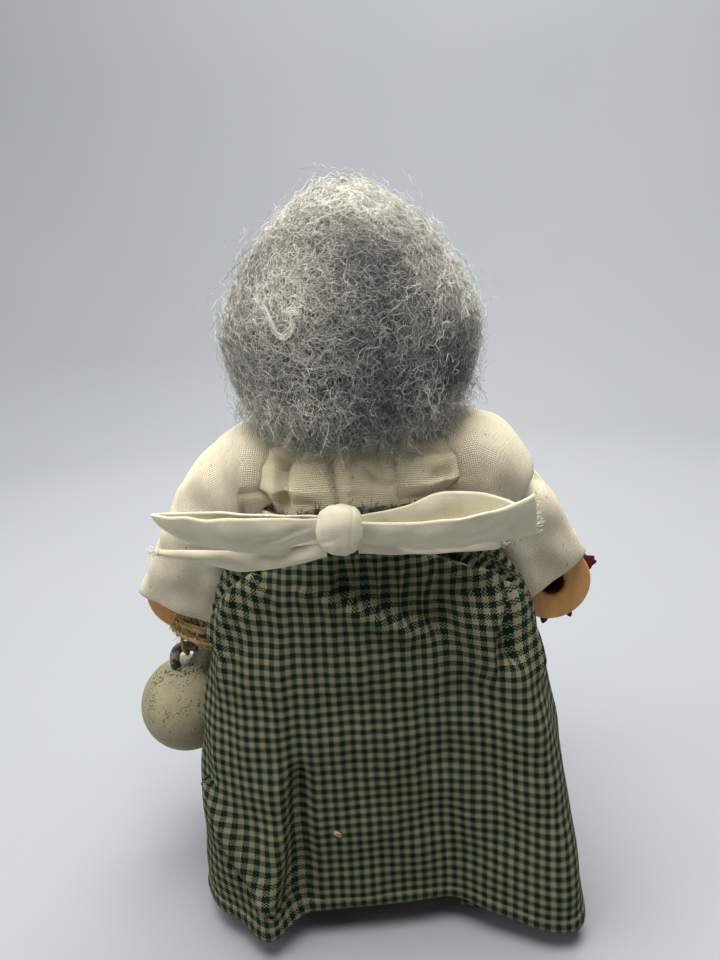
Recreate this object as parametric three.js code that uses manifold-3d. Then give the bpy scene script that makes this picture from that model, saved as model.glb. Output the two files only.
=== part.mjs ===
// Jointed folk doll: a turned wooden frame in a cloth dress, with a wool wig, drilled disc hands,
// a sash tied in a bow at the back and a small jug hung from the left hand on twine.
// Millimetres, +Z up. The doll faces -Y, so its back is on +Y and its left hand is on +X.
import * as THREE from 'three';
import { mergeVertices } from 'three/addons/utils/BufferGeometryUtils.js';
import Module from 'manifold-3d';

const wasm = await Module();
wasm.setup();

// Clearance between neighbouring pieces, of the stuffing under its cover, and the thickness of the cloth
const FIT = 0.3;
const STUFFING_FIT = 0.7;
const CLOTH = 0.9;

// Turned frame: base, post, neck dowel and the rod that the arms turn on
const BASE_RADIUS = 29;
const BASE_THICKNESS = 9;
const BASE_ROUND = 2.4;
const TENON_RADIUS = 6;
const TENON_LENGTH = 5;
const POST_FOOT_RADIUS = 15;
const POST_FOOT_HEIGHT = 8;
const POST_FOOT_TAPER = 8;
const POST_WAIST_RADIUS = 12;
const POST_NECK_RADIUS = 8.5;
const POST_NECK_LENGTH = 4;
const SHOULDER_HEIGHT = 144;
const POST_ABOVE_SHOULDER = 17.7;
const POST_TAPER_ABOVE_SHOULDER = 8;
const NECK_RADIUS = 4.75;
const NECK_IN_POST = 11;
const NECK_IN_HEAD = 19;
const ROD_RADIUS = 3;
const ROD_BEYOND_EYE = 0.7;

// Head and wig: the hair's depth is measured beyond the wooden ball
const HEAD_RADIUS = 27;
const HEAD_FLAT = 1;
const HAIR_TOP = 12;
const HAIR_SIDE = 11.6;
const HAIR_BACK = 11.5;
const HAIR_FRONT = 3;
const NAPE_BELOW_HEAD = 4.8;
const NAPE_UNDER_HEAD = 1.8;
const CHEEK_BELOW_EYES = 23.5;
const CHEEK_SLOPE = 0.34;
const FACE_HALF_WIDTH = 19;
const FACE_HALF_HEIGHT = 21;
const FACE_BELOW_EYES = 3;
const FACE_DEPTH = 18;
// Levels of the wig: share of the height from nape to top, and shares of its widest reach each way
const WIG_LEVELS = [
  { rise: 0, side: 0.55, back: 0.818, front: 0.6 },
  { rise: 0.09, side: 0.77, back: 0.9, front: 0.8 },
  { rise: 0.23, side: 0.935, back: 0.974, front: 0.933 },
  { rise: 0.42, side: 1, back: 1, front: 1 },
  { rise: 0.6, side: 0.875, back: 0.92, front: 0.95 },
  { rise: 0.76, side: 0.68, back: 0.74, front: 0.82 },
  { rise: 0.89, side: 0.435, back: 0.49, front: 0.58 },
  { rise: 0.97, side: 0.21, back: 0.23, front: 0.29 },
  { rise: 1, side: 0.07, back: 0.07, front: 0.09 },
];

// Bodice, with levels from the neck down: height above the shoulder rod, reaches and squareness
const COLLAR_RADIUS = 12.6;
const SHOULDER_HALF_WIDTH = 33.2;
const WAIST_HALF_WIDTH = 30.1;
const WAIST_BACK = 31;
const WAIST_FRONT = 26.5;
const WAIST_SQUARENESS = 2.4;
const BODICE_LEVELS = [
  { rise: 16.4, halfWidth: COLLAR_RADIUS, back: COLLAR_RADIUS, front: COLLAR_RADIUS, power: 2 },
  { rise: 13.2, halfWidth: 24, back: 20, front: 17, power: 2.3 },
  { rise: 9.4, halfWidth: 31.5, back: 24.4, front: 20.5, power: 2.8 },
  { rise: 5, halfWidth: SHOULDER_HALF_WIDTH, back: 28, front: 23, power: 3.2 },
  { rise: -1, halfWidth: SHOULDER_HALF_WIDTH, back: 30.2, front: 25, power: 3.2 },
  { rise: -4.6, halfWidth: WAIST_HALF_WIDTH, back: WAIST_BACK, front: WAIST_FRONT, power: WAIST_SQUARENESS },
  { rise: -13, halfWidth: WAIST_HALF_WIDTH, back: WAIST_BACK, front: WAIST_FRONT, power: WAIST_SQUARENESS },
  { rise: -23, halfWidth: WAIST_HALF_WIDTH, back: WAIST_BACK, front: WAIST_FRONT, power: WAIST_SQUARENESS },
];
const BODICE_GATHERS = 9;
const BODICE_GATHER_DEPTH = 0.7;
const ARMHOLE_RADIUS = 12;
const STUFFING_BELOW_BODICE = 9;

// Skirt: its waist goes round the bodice, and its hem hangs in flutes
const WAIST_EASE = 1.6;
const SKIRT_TOP_BELOW_SHOULDER = 5.4;
const SKIRT_HEM = { halfWidth: 46, back: 38, front: 43, power: 2.3 };
const SKIRT_HEM_HEIGHT = 11;
const SKIRT_FULLNESS = 3.2;
const SKIRT_GATHERS = 34;
const SKIRT_GATHER_DEPTH = 0.35;
const SKIRT_WALL = 1.7;
// Rings of the skirt, from 0 under the sash to 1 at the hem
const SKIRT_DROPS = [0.07, 0.17, 0.3, 0.47, 0.65, 0.83, 1];
// Each flute: bearing in degrees from +X, half width in degrees, reach beyond the hem, dip of the hem, and
// fullness: a low one fills out close under the sash, and 1 widens evenly down to the hem
const SKIRT_FLUTES = [
  { bearing: 22.5, spread: 16.5, reach: 16.5, dip: 2, fullness: 0.38 },
  { bearing: 52, spread: 7, reach: 13, dip: 1, fullness: 0.9 },
  { bearing: 139.5, spread: 15, reach: 29, dip: 5, fullness: 0.85 },
  { bearing: 161, spread: 14.5, reach: 14.5, dip: 0, fullness: 0.3 },
  { bearing: 214, spread: 15, reach: 11, dip: 0, fullness: 0.9 },
  { bearing: 262, spread: 14, reach: 8, dip: 0, fullness: 0.9 },
  { bearing: 318, spread: 16, reach: 10, dip: 0, fullness: 0.9 },
];

// Sash round the waist and the bow at the back
const SASH_BELOW_SHOULDER = 12.5;
const SASH_WIDTH = 9;
const SASH_THICKNESS = 0.9;
const SASH_CLEAR_BELOW = 0.5;
const KNOT_X = 5.5;
const KNOT_ABOVE_SASH = 1.5;
const KNOT_WIDTH = 13;
const KNOT_TALL = 13.5;
const KNOT_DEPTH = 9;
const KNOT_ROUNDNESS = 0.7;
const BOW_CLOTH = 1;
const LOOP_WIDTH = 10;
const LOOP_ABOVE_KNOT = 1.2;
const LOOP_PINCH = 0.55;
const LOOP_PINCH_LENGTH = 26;
const TAIL_WIDTH = 7;
const TAIL_BELOW_KNOT = 4.2;
const TAIL_PINCH = 0.6;
const LOOPS = {
  left: { side: 1, reach: 50, rise: 3 },
  right: { side: -1, reach: 53, rise: 3.4 },
};
const TAILS = {
  left: { side: 1, reach: 49, drop: 2 },
  right: { side: -1, reach: 43, drop: 4 },
};
// Lines of the bands from the knot: share of the reach, distance behind the knot's middle, share of the rise
const LOOP_LINE = [
  { share: 0, out: 1.9, rise: 0 },
  { share: 0.45, out: 5.2, rise: 0.4 },
  { share: 0.8, out: 3.2, rise: 0.8 },
  { share: 1, out: -0.6, rise: 1 },
  { share: 0.8, out: -2.6, rise: 0.8 },
  { share: 0.45, out: -1.6, rise: 0.4 },
  { share: 0, out: -0.6, rise: 0 },
];
const TAIL_LINE = [
  { share: 0, out: -2.9, rise: 0 },
  { share: 0.5, out: -4.6, rise: -0.6 },
  { share: 1, out: -6.4, rise: -1 },
];

// Arms: each sleeve runs between an outer and an inner line of [x, z] points, x outwards from its start
// and z up from the shoulder rod. Its cuff goes round the disc hand, at bearings in degrees from outwards.
const SLEEVE_GAP = 0.7;
const SLEEVE_TOP = 16.6;
const ARMPIT = -13;
const SLEEVE_STATIONS = [0, 0.12, 0.28, 0.46, 0.64, 0.83, 1];
const PADDING_STATIONS = [0.02, 0.12, 0.28, 0.46, 0.6, 0.7];
const SLEEVE_DEPTHS = [15.5, 17.5, 18.5, 18, 16, 11.5];
const CUFF_SPACE = 5;
const CUFF_SQUARENESS = 3.4;
const STICK_RADIUS = 2.6;
const STICK_IN_HAND = 6;
const EYE_RADIUS = 6;
const EYE_WIDTH = 6;
const HAND_Y = -6;
const HAND_RADIUS = 13.3;
const HAND_THICKNESS = 6;
const HAND_HOLE_RADIUS = 4.1;
const HAND_ROUND = 1.9;
const HAND_CHAMFER = 0.6;
const ARMS = {
  left: {
    side: 1,
    hand: [26.6, -42.8],
    outer: [[8.1, 11.2], [21.7, -2.2], [33.9, -22.4]],
    inner: [[4.3, -26.5]],
    cuffOuter: { bearing: 7.2, ease: 2.6 },
    cuffInner: { bearing: 230.2, ease: 3.9 },
  },
  right: {
    side: -1,
    hand: [28.3, -46.8],
    outer: [[10.5, 11], [19.3, 1.6], [28.7, -15.6]],
    inner: [[5.7, -28]],
    cuffOuter: { bearing: 41.4, ease: 2.43 },
    cuffInner: { bearing: 218.5, ease: 1.65 },
  },
};

// Jug, its ear and the twine that hangs it from the left hand
const JUG_RADIUS = 16.5;
const JUG_FOOT_RADIUS = 8;
const JUG_NECK_RADIUS = 3.8;
const JUG_NECK_ROUND = 1;
const JUG_LIP_RADIUS = 4.3;
const JUG_LIP_HEIGHT = 1.6;
const JUG_LIP_ROUND = 0.5;
const JUG_ABOVE_BALL = 9.5;
const JUG_MOUTH_RADIUS = 1.9;
const JUG_MOUTH_DEPTH = 5;
const JUG_TILT = 22;
const JUG_TURN = 25;
const EAR_RADIUS = 1.7;
const EAR_REACH = 10.2;
const EAR_HANG_REACH = 7;
const EAR_FOOT_REACH = 7.4;
const EAR_BELOW_LIP = 3.2;
const EAR_BELOW_HAND = 7.1;
const EAR_OUT_FROM_HAND = 2.7;
const TWINE_RADIUS = 0.7;
const TWINE_FACE_GAP = 0.8;
const TWINE_FAN = 1.6;
// Bearings of the turns from straight down, in degrees: inside the hole and over the rim
const TWINE_TURNS = [
  { hole: -72, rim: -34, long: false },
  { hole: -24, rim: -13, long: false },
  { hole: 24, rim: 0, long: true },
  { hole: 72, rim: 31, long: false },
];

// Cloth held in the right hand, with a pinked edge
const PINKED_BEYOND_HAND = 1.9;
const PINKED_TUCK = 2.7;
const PINKED_FREE_BEARING = -50;
const PINKED_FREE_HALF_ANGLE = 68;
const PINKED_TOOTH = 1.8;
const PINKED_TEETH = 24;
const PINKED_CORNER_SPREAD = 11;
const PINKED_THICKNESS = 1.1;
// Corners of the cloth that stand out beyond the disc: bearing in degrees from outwards, and extra reach
const PINKED_CORNERS = [
  { bearing: 8, reach: 2.6 },
  { bearing: -61, reach: 3.2 },
  { bearing: -91, reach: 2.8 },
];

// Facets of the round pieces and steps along the bent ones
const ROUND = 20;
const BASE_SIDES = 36;
const CORNER_STEPS = 2;
const HEAD_SIDES = 24;
const HEAD_RINGS = 16;
const WIG_SIDES = 32;
const BODICE_SIDES = 38;
const SKIRT_SIDES = 68;
const SASH_STEPS = 60;
const KNOT_SIDES = 14;
const KNOT_RINGS = 10;
const LOOP_STEPS = 20;
const TAIL_STEPS = 8;
const SLEEVE_SIDES = 24;
const BELLY_STEPS = 9;
const EAR_SIDES = 8;
const EAR_STEPS = 16;
const TWINE_SIDES = 6;
const TWINE_LOOP_STEPS = 24;
// Length by which a cutting tool runs past the face that it cuts
const OVERCUT = 1;

// Places that follow from the driving dimensions
const postTop = SHOULDER_HEIGHT + POST_ABOVE_SHOULDER;
const headHeight = postTop + FIT + HEAD_RADIUS - HEAD_FLAT;
const skirtWaist = {
  halfWidth: WAIST_HALF_WIDTH + WAIST_EASE,
  back: WAIST_BACK + WAIST_EASE,
  front: WAIST_FRONT + WAIST_EASE,
  power: WAIST_SQUARENESS,
};
const skirtTop = SHOULDER_HEIGHT - SKIRT_TOP_BELOW_SHOULDER;
const sashHeight = SHOULDER_HEIGHT - SASH_BELOW_SHOULDER;
const sashBottom = sashHeight - SASH_WIDTH / 2 - SASH_CLEAR_BELOW;
const sashOffset = 2 * SKIRT_GATHER_DEPTH + FIT + SASH_THICKNESS / 2;
const sashOutside = sashOffset + SASH_THICKNESS / 2;
const knotMiddle = new THREE.Vector3(
  KNOT_X,
  skirtWaist.back + sashOutside + FIT + KNOT_DEPTH / 2,
  sashHeight + KNOT_ABOVE_SASH,
);
const bandStart = KNOT_WIDTH / 2 + FIT;
const sleevePlane = Math.max(SHOULDER_HALF_WIDTH + SLEEVE_GAP, skirtWaist.halfWidth + sashOutside + FIT);
const rodHalfLength = sleevePlane + CLOTH + EYE_WIDTH + ROD_BEYOND_EYE;
const rodEnd = new THREE.Vector3(rodHalfLength, 0, SHOULDER_HEIGHT);
const rodStart = new THREE.Vector3(-rodHalfLength, 0, SHOULDER_HEIGHT);
const jugHeight = JUG_RADIUS + JUG_ABOVE_BALL;
const earTop = jugHeight - EAR_BELOW_LIP;

const COLOURS = {
  wood: { color: 0xb58a5a, roughness: 0.65, metalness: 0 },
  flesh: { color: 0xb98c55, roughness: 0.5, metalness: 0 },
  wool: { color: 0x9a9b98, roughness: 0.95, metalness: 0 },
  muslin: { color: 0xe6dcc0, roughness: 0.9, metalness: 0 },
  sleeveCloth: { color: 0xd8cfb8, roughness: 0.9, metalness: 0 },
  check: { color: 0x4a6a55, roughness: 0.9, metalness: 0 },
  ribbon: { color: 0xefe6cf, roughness: 0.85, metalness: 0 },
  stuffing: { color: 0xf0ede4, roughness: 1, metalness: 0 },
  twine: { color: 0xb3935f, roughness: 0.95, metalness: 0 },
  stoneware: { color: 0xa49a76, roughness: 0.55, metalness: 0 },
  burgundy: { color: 0x5a1620, roughness: 0.9, metalness: 0 },
};

const doll = new THREE.Group();

// A closed solid from a geometry: shared vertices merged, flat triangles dropped, faces pointing out.
function solidFrom(geometry) {
  const bare = geometry.clone();
  bare.deleteAttribute('normal');
  bare.deleteAttribute('uv');
  const merged = mergeVertices(bare, 1e-4);
  const position = merged.attributes.position;
  const corners = [];
  for (let i = 0; i < merged.index.count; i += 3) {
    const [a, b, c] = [0, 1, 2].map((k) => merged.index.getX(i + k));
    if (a !== b && b !== c && c !== a) {
      corners.push(a, b, c);
    }
  }
  if (signedVolume(position, corners) < 0) {
    corners.reverse();
  }
  const vertProperties = Float32Array.from(position.array);
  const triVerts = Uint32Array.from(corners);
  return new wasm.Manifold(new wasm.Mesh({ numProp: 3, vertProperties, triVerts }));
}

function signedVolume(position, corners) {
  const [a, b, c] = [new THREE.Vector3(), new THREE.Vector3(), new THREE.Vector3()];
  let sum = 0;
  for (let i = 0; i < corners.length; i += 3) {
    a.fromBufferAttribute(position, corners[i]);
    b.fromBufferAttribute(position, corners[i + 1]);
    c.fromBufferAttribute(position, corners[i + 2]);
    sum += a.dot(b.cross(c)) / 6;
  }
  return sum;
}

function addPiece(name, solid, look, parent = doll) {
  const { vertProperties, triVerts } = solid.getMesh();
  const geometry = new THREE.BufferGeometry();
  geometry.setAttribute('position', new THREE.BufferAttribute(vertProperties, 3));
  geometry.setIndex(new THREE.BufferAttribute(triVerts, 1));
  geometry.computeVertexNormals();
  const mesh = new THREE.Mesh(geometry, new THREE.MeshStandardMaterial(look));
  mesh.name = name;
  parent.add(mesh);
  return mesh;
}

// Joins rings of points into one surface: a closed run goes back to its first ring, an open one has caps.
function loft(rings, closed = false) {
  const sides = rings[0].length;
  const points = rings.flat();
  const corners = [];
  const spans = closed ? rings.length : rings.length - 1;
  for (let r = 0; r < spans; r += 1) {
    const next = (r + 1) % rings.length;
    for (let i = 0; i < sides; i += 1) {
      const j = (i + 1) % sides;
      const [a, b] = [r * sides + i, r * sides + j];
      const [c, d] = [next * sides + j, next * sides + i];
      corners.push(a, b, c, a, c, d);
    }
  }
  if (!closed) {
    const last = (rings.length - 1) * sides;
    const [tail, head] = [points.length, points.length + 1];
    points.push(middleOf(rings[0]), middleOf(rings[rings.length - 1]));
    for (let i = 0; i < sides; i += 1) {
      const j = (i + 1) % sides;
      corners.push(tail, j, i, head, last + i, last + j);
    }
  }
  const geometry = new THREE.BufferGeometry().setFromPoints(points);
  geometry.setIndex(corners);
  return solidFrom(geometry);
}

function middleOf(ring) {
  const sum = ring.reduce((total, point) => total.add(point), new THREE.Vector3());
  return sum.divideScalar(ring.length);
}

function shell(outerRings, innerRings) {
  return loft([...outerRings, ...innerRings.slice().reverse()], true);
}

// Cylinder between two points, a little longer at both ends when asked.
function rodBetween(start, end, radius, extra = 0) {
  const along = end.clone().sub(start);
  const geometry = new THREE.CylinderGeometry(radius, radius, along.length() + 2 * extra, ROUND);
  const turn = new THREE.Quaternion().setFromUnitVectors(new THREE.Vector3(0, 1, 0), along.normalize());
  geometry.applyQuaternion(turn);
  const middle = start.clone().add(end).multiplyScalar(0.5);
  geometry.translate(middle.x, middle.y, middle.z);
  return solidFrom(geometry);
}

// Turned piece about the Z axis from [radius, height] points.
function turned(points, sides = ROUND) {
  const outline = points.map(([radius, height]) => new THREE.Vector2(radius, height));
  return solidFrom(new THREE.LatheGeometry(outline, sides).rotateX(Math.PI / 2));
}

// Quarter-round corner points from one angle to another, in degrees.
function corner(radius, height, round, from, to, steps = CORNER_STEPS) {
  return Array.from({ length: steps + 1 }, (_, i) => {
    const angle = THREE.MathUtils.degToRad(THREE.MathUtils.lerp(from, to, i / steps));
    return [radius + round * Math.cos(angle), height + round * Math.sin(angle)];
  });
}

// Radius of a rounded section at a bearing: half width across X, other reaches to the back and the front.
function sectionRadius(bearing, { halfWidth, back, front, power }) {
  const depth = Math.sin(bearing) > 0 ? back : front;
  const across = Math.abs(Math.cos(bearing)) / halfWidth;
  const along = Math.abs(Math.sin(bearing)) / depth;
  return (across ** power + along ** power) ** (-1 / power);
}

function ringAround(sides, radiusAt, heightAt) {
  return Array.from({ length: sides }, (_, i) => {
    const bearing = (2 * Math.PI * i) / sides;
    const radius = radiusAt(bearing);
    return new THREE.Vector3(
      radius * Math.cos(bearing),
      radius * Math.sin(bearing),
      heightAt(bearing),
    );
  });
}

function buildFrame() {
  const tenonSeat = turned([
    [0, BASE_THICKNESS - TENON_LENGTH - FIT],
    [TENON_RADIUS + FIT, BASE_THICKNESS - TENON_LENGTH - FIT],
    [TENON_RADIUS + FIT, BASE_THICKNESS + OVERCUT],
    [0, BASE_THICKNESS + OVERCUT],
  ]);
  const edge = BASE_RADIUS - BASE_ROUND;
  const base = turned([
    [0, 0],
    [BASE_RADIUS - BASE_ROUND / 2, 0],
    [BASE_RADIUS, BASE_ROUND / 2],
    ...corner(edge, BASE_THICKNESS - BASE_ROUND, BASE_ROUND, 0, 90, CORNER_STEPS + 1),
    [0, BASE_THICKNESS],
  ], BASE_SIDES);
  addPiece('base_disc', base.subtract(tenonSeat), COLOURS.wood);

  const foot = BASE_THICKNESS + FIT;
  const footTop = foot + POST_FOOT_HEIGHT;
  const post = turned([
    [0, BASE_THICKNESS - TENON_LENGTH],
    [TENON_RADIUS, BASE_THICKNESS - TENON_LENGTH],
    [TENON_RADIUS, foot],
    [POST_FOOT_RADIUS, foot],
    [POST_FOOT_RADIUS, footTop],
    [POST_WAIST_RADIUS, footTop + POST_FOOT_TAPER],
    [POST_WAIST_RADIUS, SHOULDER_HEIGHT + POST_TAPER_ABOVE_SHOULDER],
    [POST_NECK_RADIUS, postTop - POST_NECK_LENGTH],
    [POST_NECK_RADIUS, postTop],
    [0, postTop],
  ]);
  const neckSeat = rodBetween(
    new THREE.Vector3(0, 0, postTop - NECK_IN_POST - FIT),
    new THREE.Vector3(0, 0, postTop + OVERCUT),
    NECK_RADIUS + FIT,
  );
  const rodHole = rodBetween(rodStart, rodEnd, ROD_RADIUS + FIT);
  addPiece('body_post', post.subtract(neckSeat).subtract(rodHole), COLOURS.wood);
  addPiece('shoulder_rod', rodBetween(rodStart, rodEnd, ROD_RADIUS), COLOURS.wood);

  const neckTop = postTop + NECK_IN_HEAD;
  const neck = rodBetween(
    new THREE.Vector3(0, 0, postTop - NECK_IN_POST),
    new THREE.Vector3(0, 0, neckTop),
    NECK_RADIUS,
  );
  addPiece('neck_dowel', neck, COLOURS.wood);
  return post.add(rodHole);
}

function buildHead() {
  const ball = solidFrom(new THREE.SphereGeometry(HEAD_RADIUS, HEAD_SIDES, HEAD_RINGS).rotateX(Math.PI / 2));
  const flat = new THREE.BoxGeometry(2 * HEAD_RADIUS, 2 * HEAD_RADIUS, HEAD_RADIUS);
  flat.translate(0, 0, HEAD_FLAT - 1.5 * HEAD_RADIUS);
  const neckHole = rodBetween(
    new THREE.Vector3(0, 0, -HEAD_RADIUS),
    new THREE.Vector3(0, 0, postTop + NECK_IN_HEAD + FIT - headHeight),
    NECK_RADIUS + FIT,
  );
  const head = ball.subtract(solidFrom(flat)).subtract(neckHole);
  addPiece('head_ball', head, COLOURS.flesh).position.z = headHeight;
}

// The wig is a soft cap: open below for the head, cut back round the face, low at the nape.
function buildWig() {
  const nape = headHeight - HEAD_RADIUS - NAPE_BELOW_HEAD;
  const top = headHeight + HEAD_RADIUS + HAIR_TOP;
  const rings = WIG_LEVELS.map(({ rise, side, back, front }) => {
    const section = {
      halfWidth: side * (HEAD_RADIUS + HAIR_SIDE),
      back: back * (HEAD_RADIUS + HAIR_BACK),
      front: front * (HEAD_RADIUS + HAIR_FRONT),
      power: 2,
    };
    const height = THREE.MathUtils.lerp(nape, top, rise);
    return ringAround(WIG_SIDES, (bearing) => sectionRadius(bearing, section), () => height);
  });
  const skull = new THREE.SphereGeometry(HEAD_RADIUS + FIT, HEAD_SIDES, HEAD_RINGS);
  skull.rotateX(Math.PI / 2).translate(0, 0, headHeight);
  const napeRadius = HEAD_RADIUS - NAPE_UNDER_HEAD;
  const collarTop = headHeight - Math.sqrt(HEAD_RADIUS ** 2 - napeRadius ** 2) + 2 * OVERCUT;
  const collar = rodBetween(
    new THREE.Vector3(0, 0, nape - OVERCUT),
    new THREE.Vector3(0, 0, collarTop),
    napeRadius,
  );
  const face = new THREE.CylinderGeometry(1, 1, 2 * HEAD_RADIUS, ROUND);
  face.scale(FACE_HALF_WIDTH, 1, FACE_HALF_HEIGHT);
  face.translate(0, FACE_DEPTH - 2 * HEAD_RADIUS, headHeight - FACE_BELOW_EYES);
  const wedge = new THREE.BoxGeometry(4 * HEAD_RADIUS, 4 * HEAD_RADIUS, 2 * HEAD_RADIUS);
  wedge.translate(0, 0, -HEAD_RADIUS);
  wedge.rotateX(-Math.atan(CHEEK_SLOPE));
  wedge.translate(0, 0, headHeight - CHEEK_BELOW_EYES);
  const cuts = [solidFrom(skull), collar, solidFrom(face), solidFrom(wedge)];
  const wig = cuts.reduce((mass, cut) => mass.subtract(cut), loft(rings));
  addPiece('hair_wig', wig, COLOURS.wool);
}

function bodiceRings(inset) {
  return BODICE_LEVELS.map((level) => ringAround(
    BODICE_SIDES,
    (bearing) => {
      const gather = Math.max(0, Math.sin(bearing)) * BODICE_GATHER_DEPTH;
      const ripple = gather * (Math.cos(2 * BODICE_GATHERS * bearing) - 1) / 2;
      return sectionRadius(bearing, level) + ripple - inset;
    },
    () => SHOULDER_HEIGHT + level.rise,
  ));
}

function buildTorso(core) {
  const outer = bodiceRings(0);
  const inner = bodiceRings(CLOTH);
  const armholes = rodBetween(rodStart, rodEnd, ARMHOLE_RADIUS);
  addPiece('bodice', shell(outer, inner).subtract(armholes), COLOURS.muslin);

  const rings = bodiceRings(CLOTH + STUFFING_FIT).slice(1);
  const bottom = rings[rings.length - 1][0].z - STUFFING_BELOW_BODICE;
  const low = rings[rings.length - 1].map((point) => point.clone().setZ(bottom));
  const filled = loft([...rings, low]);
  const bore = rodBetween(
    new THREE.Vector3(0, 0, bottom - OVERCUT),
    new THREE.Vector3(0, 0, postTop),
    POST_WAIST_RADIUS + FIT,
  );
  addPiece('torso_stuffing', filled.subtract(bore).subtract(core), COLOURS.stuffing);
}

function fluteAt(flute, bearing) {
  return Math.exp(-((degreesApart(bearing, flute.bearing) / flute.spread) ** 2));
}

function hemHeight(bearing) {
  const dip = SKIRT_FLUTES.reduce((sum, flute) => sum + flute.dip * fluteAt(flute, bearing), 0);
  return SKIRT_HEM_HEIGHT - dip;
}

// Radius of the skirt at a bearing; the drop goes from 0 under the sash to 1 at the hem.
function skirtRadius(bearing, drop) {
  const waist = sectionRadius(bearing, skirtWaist);
  const hem = sectionRadius(bearing, SKIRT_HEM);
  const open = 1 - (1 - drop) ** SKIRT_FULLNESS;
  const flutes = SKIRT_FLUTES.reduce(
    (sum, flute) => sum + flute.reach * fluteAt(flute, bearing) * drop ** flute.fullness,
    0,
  );
  const gather = SKIRT_GATHER_DEPTH * (1 + Math.cos(SKIRT_GATHERS * bearing)) * (1 - drop);
  return THREE.MathUtils.lerp(waist, hem, open) + flutes + gather;
}

function skirtRings(inset) {
  const waistRings = [skirtTop, sashBottom].map((z) => ringAround(
    SKIRT_SIDES,
    (bearing) => skirtRadius(bearing, 0) - Math.min(inset, CLOTH),
    () => z,
  ));
  const hanging = SKIRT_DROPS.map((drop) => ringAround(
    SKIRT_SIDES,
    (bearing) => skirtRadius(bearing, drop) - THREE.MathUtils.lerp(Math.min(inset, CLOTH), inset, drop),
    (bearing) => THREE.MathUtils.lerp(sashBottom, hemHeight(bearing), drop),
  ));
  return [...waistRings, ...hanging];
}

function buildSkirt() {
  addPiece('skirt', shell(skirtRings(0), skirtRings(SKIRT_WALL)), COLOURS.check);
}

// Flat strip along a path in plan: rows give the point on the path, its width and its middle height.
function strip(rows, thickness, closed = false) {
  const sections = rows.map((row, i) => {
    const before = rows[closed ? (i + rows.length - 1) % rows.length : Math.max(i - 1, 0)];
    const after = rows[closed ? (i + 1) % rows.length : Math.min(i + 1, rows.length - 1)];
    const along = after.point.clone().sub(before.point).setZ(0).normalize();
    const out = new THREE.Vector3(along.y, -along.x, 0).multiplyScalar(thickness / 2);
    const up = new THREE.Vector3(0, 0, row.width / 2);
    return [
      row.point.clone().add(out).add(up),
      row.point.clone().sub(out).add(up),
      row.point.clone().sub(out).sub(up),
      row.point.clone().add(out).sub(up),
    ];
  });
  return loft(sections, closed);
}

function buildSash() {
  const rows = ringAround(
    SASH_STEPS,
    (bearing) => sectionRadius(bearing, skirtWaist) + sashOffset,
    () => sashHeight,
  ).map((point) => ({ point, width: SASH_WIDTH }));
  addPiece('waist_sash', strip(rows, SASH_THICKNESS, true), COLOURS.ribbon);

  const knot = new THREE.SphereGeometry(1, KNOT_SIDES, KNOT_RINGS);
  const position = knot.attributes.position;
  const point = new THREE.Vector3();
  for (let i = 0; i < position.count; i += 1) {
    point.fromBufferAttribute(position, i);
    const [x, y, z] = [point.x, point.y, point.z].map((v) => Math.sign(v) * Math.abs(v) ** KNOT_ROUNDNESS);
    position.setXYZ(i, (x * KNOT_WIDTH) / 2, (y * KNOT_DEPTH) / 2, (z * KNOT_TALL) / 2);
  }
  addPiece('bow_knot', solidFrom(knot), COLOURS.ribbon).position.copy(knotMiddle);
}

// Band of the bow along a line that starts at the side of the knot.
function bowBand(line, { side, reach, rise }, lift, steps, widthAt) {
  const path = new THREE.CatmullRomCurve3(line.map((at) => new THREE.Vector3(
    Math.max(bandStart, reach * at.share),
    at.out,
    lift + rise * at.rise,
  )));
  const rows = Array.from({ length: steps + 1 }, (_, i) => {
    const local = path.getPoint(i / steps);
    const point = knotMiddle.clone().add(new THREE.Vector3(side * local.x, local.y, local.z));
    return { point, width: widthAt(local.x - bandStart) };
  });
  return strip(rows, BOW_CLOTH);
}

function buildBow() {
  Object.entries(LOOPS).forEach(([label, loop]) => {
    const width = (away) => LOOP_WIDTH * Math.min(1, LOOP_PINCH + away / LOOP_PINCH_LENGTH);
    const band = bowBand(LOOP_LINE, loop, LOOP_ABOVE_KNOT, LOOP_STEPS, width);
    addPiece(`bow_loop_${label}`, band, COLOURS.ribbon);
  });
  Object.entries(TAILS).forEach(([label, { side, reach, drop }]) => {
    const width = (away) => TAIL_WIDTH * Math.min(1, TAIL_PINCH + away / (reach - bandStart));
    const band = bowBand(TAIL_LINE, { side, reach, rise: drop }, -TAIL_BELOW_KNOT, TAIL_STEPS, width);
    addPiece(`bow_tail_${label}`, band, COLOURS.ribbon);
  });
}

function handMiddle(arm) {
  return new THREE.Vector3(arm.side * (sleevePlane + arm.hand[0]), HAND_Y, SHOULDER_HEIGHT + arm.hand[1]);
}

// Edge of the cuff as [x, z], at a bearing from the middle of the hand and an ease beyond its rim.
function cuffEdge(arm, { bearing, ease }) {
  const angle = THREE.MathUtils.degToRad(bearing);
  const reach = HAND_RADIUS + ease;
  return [arm.hand[0] + reach * Math.cos(angle), arm.hand[1] + reach * Math.sin(angle)];
}

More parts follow.
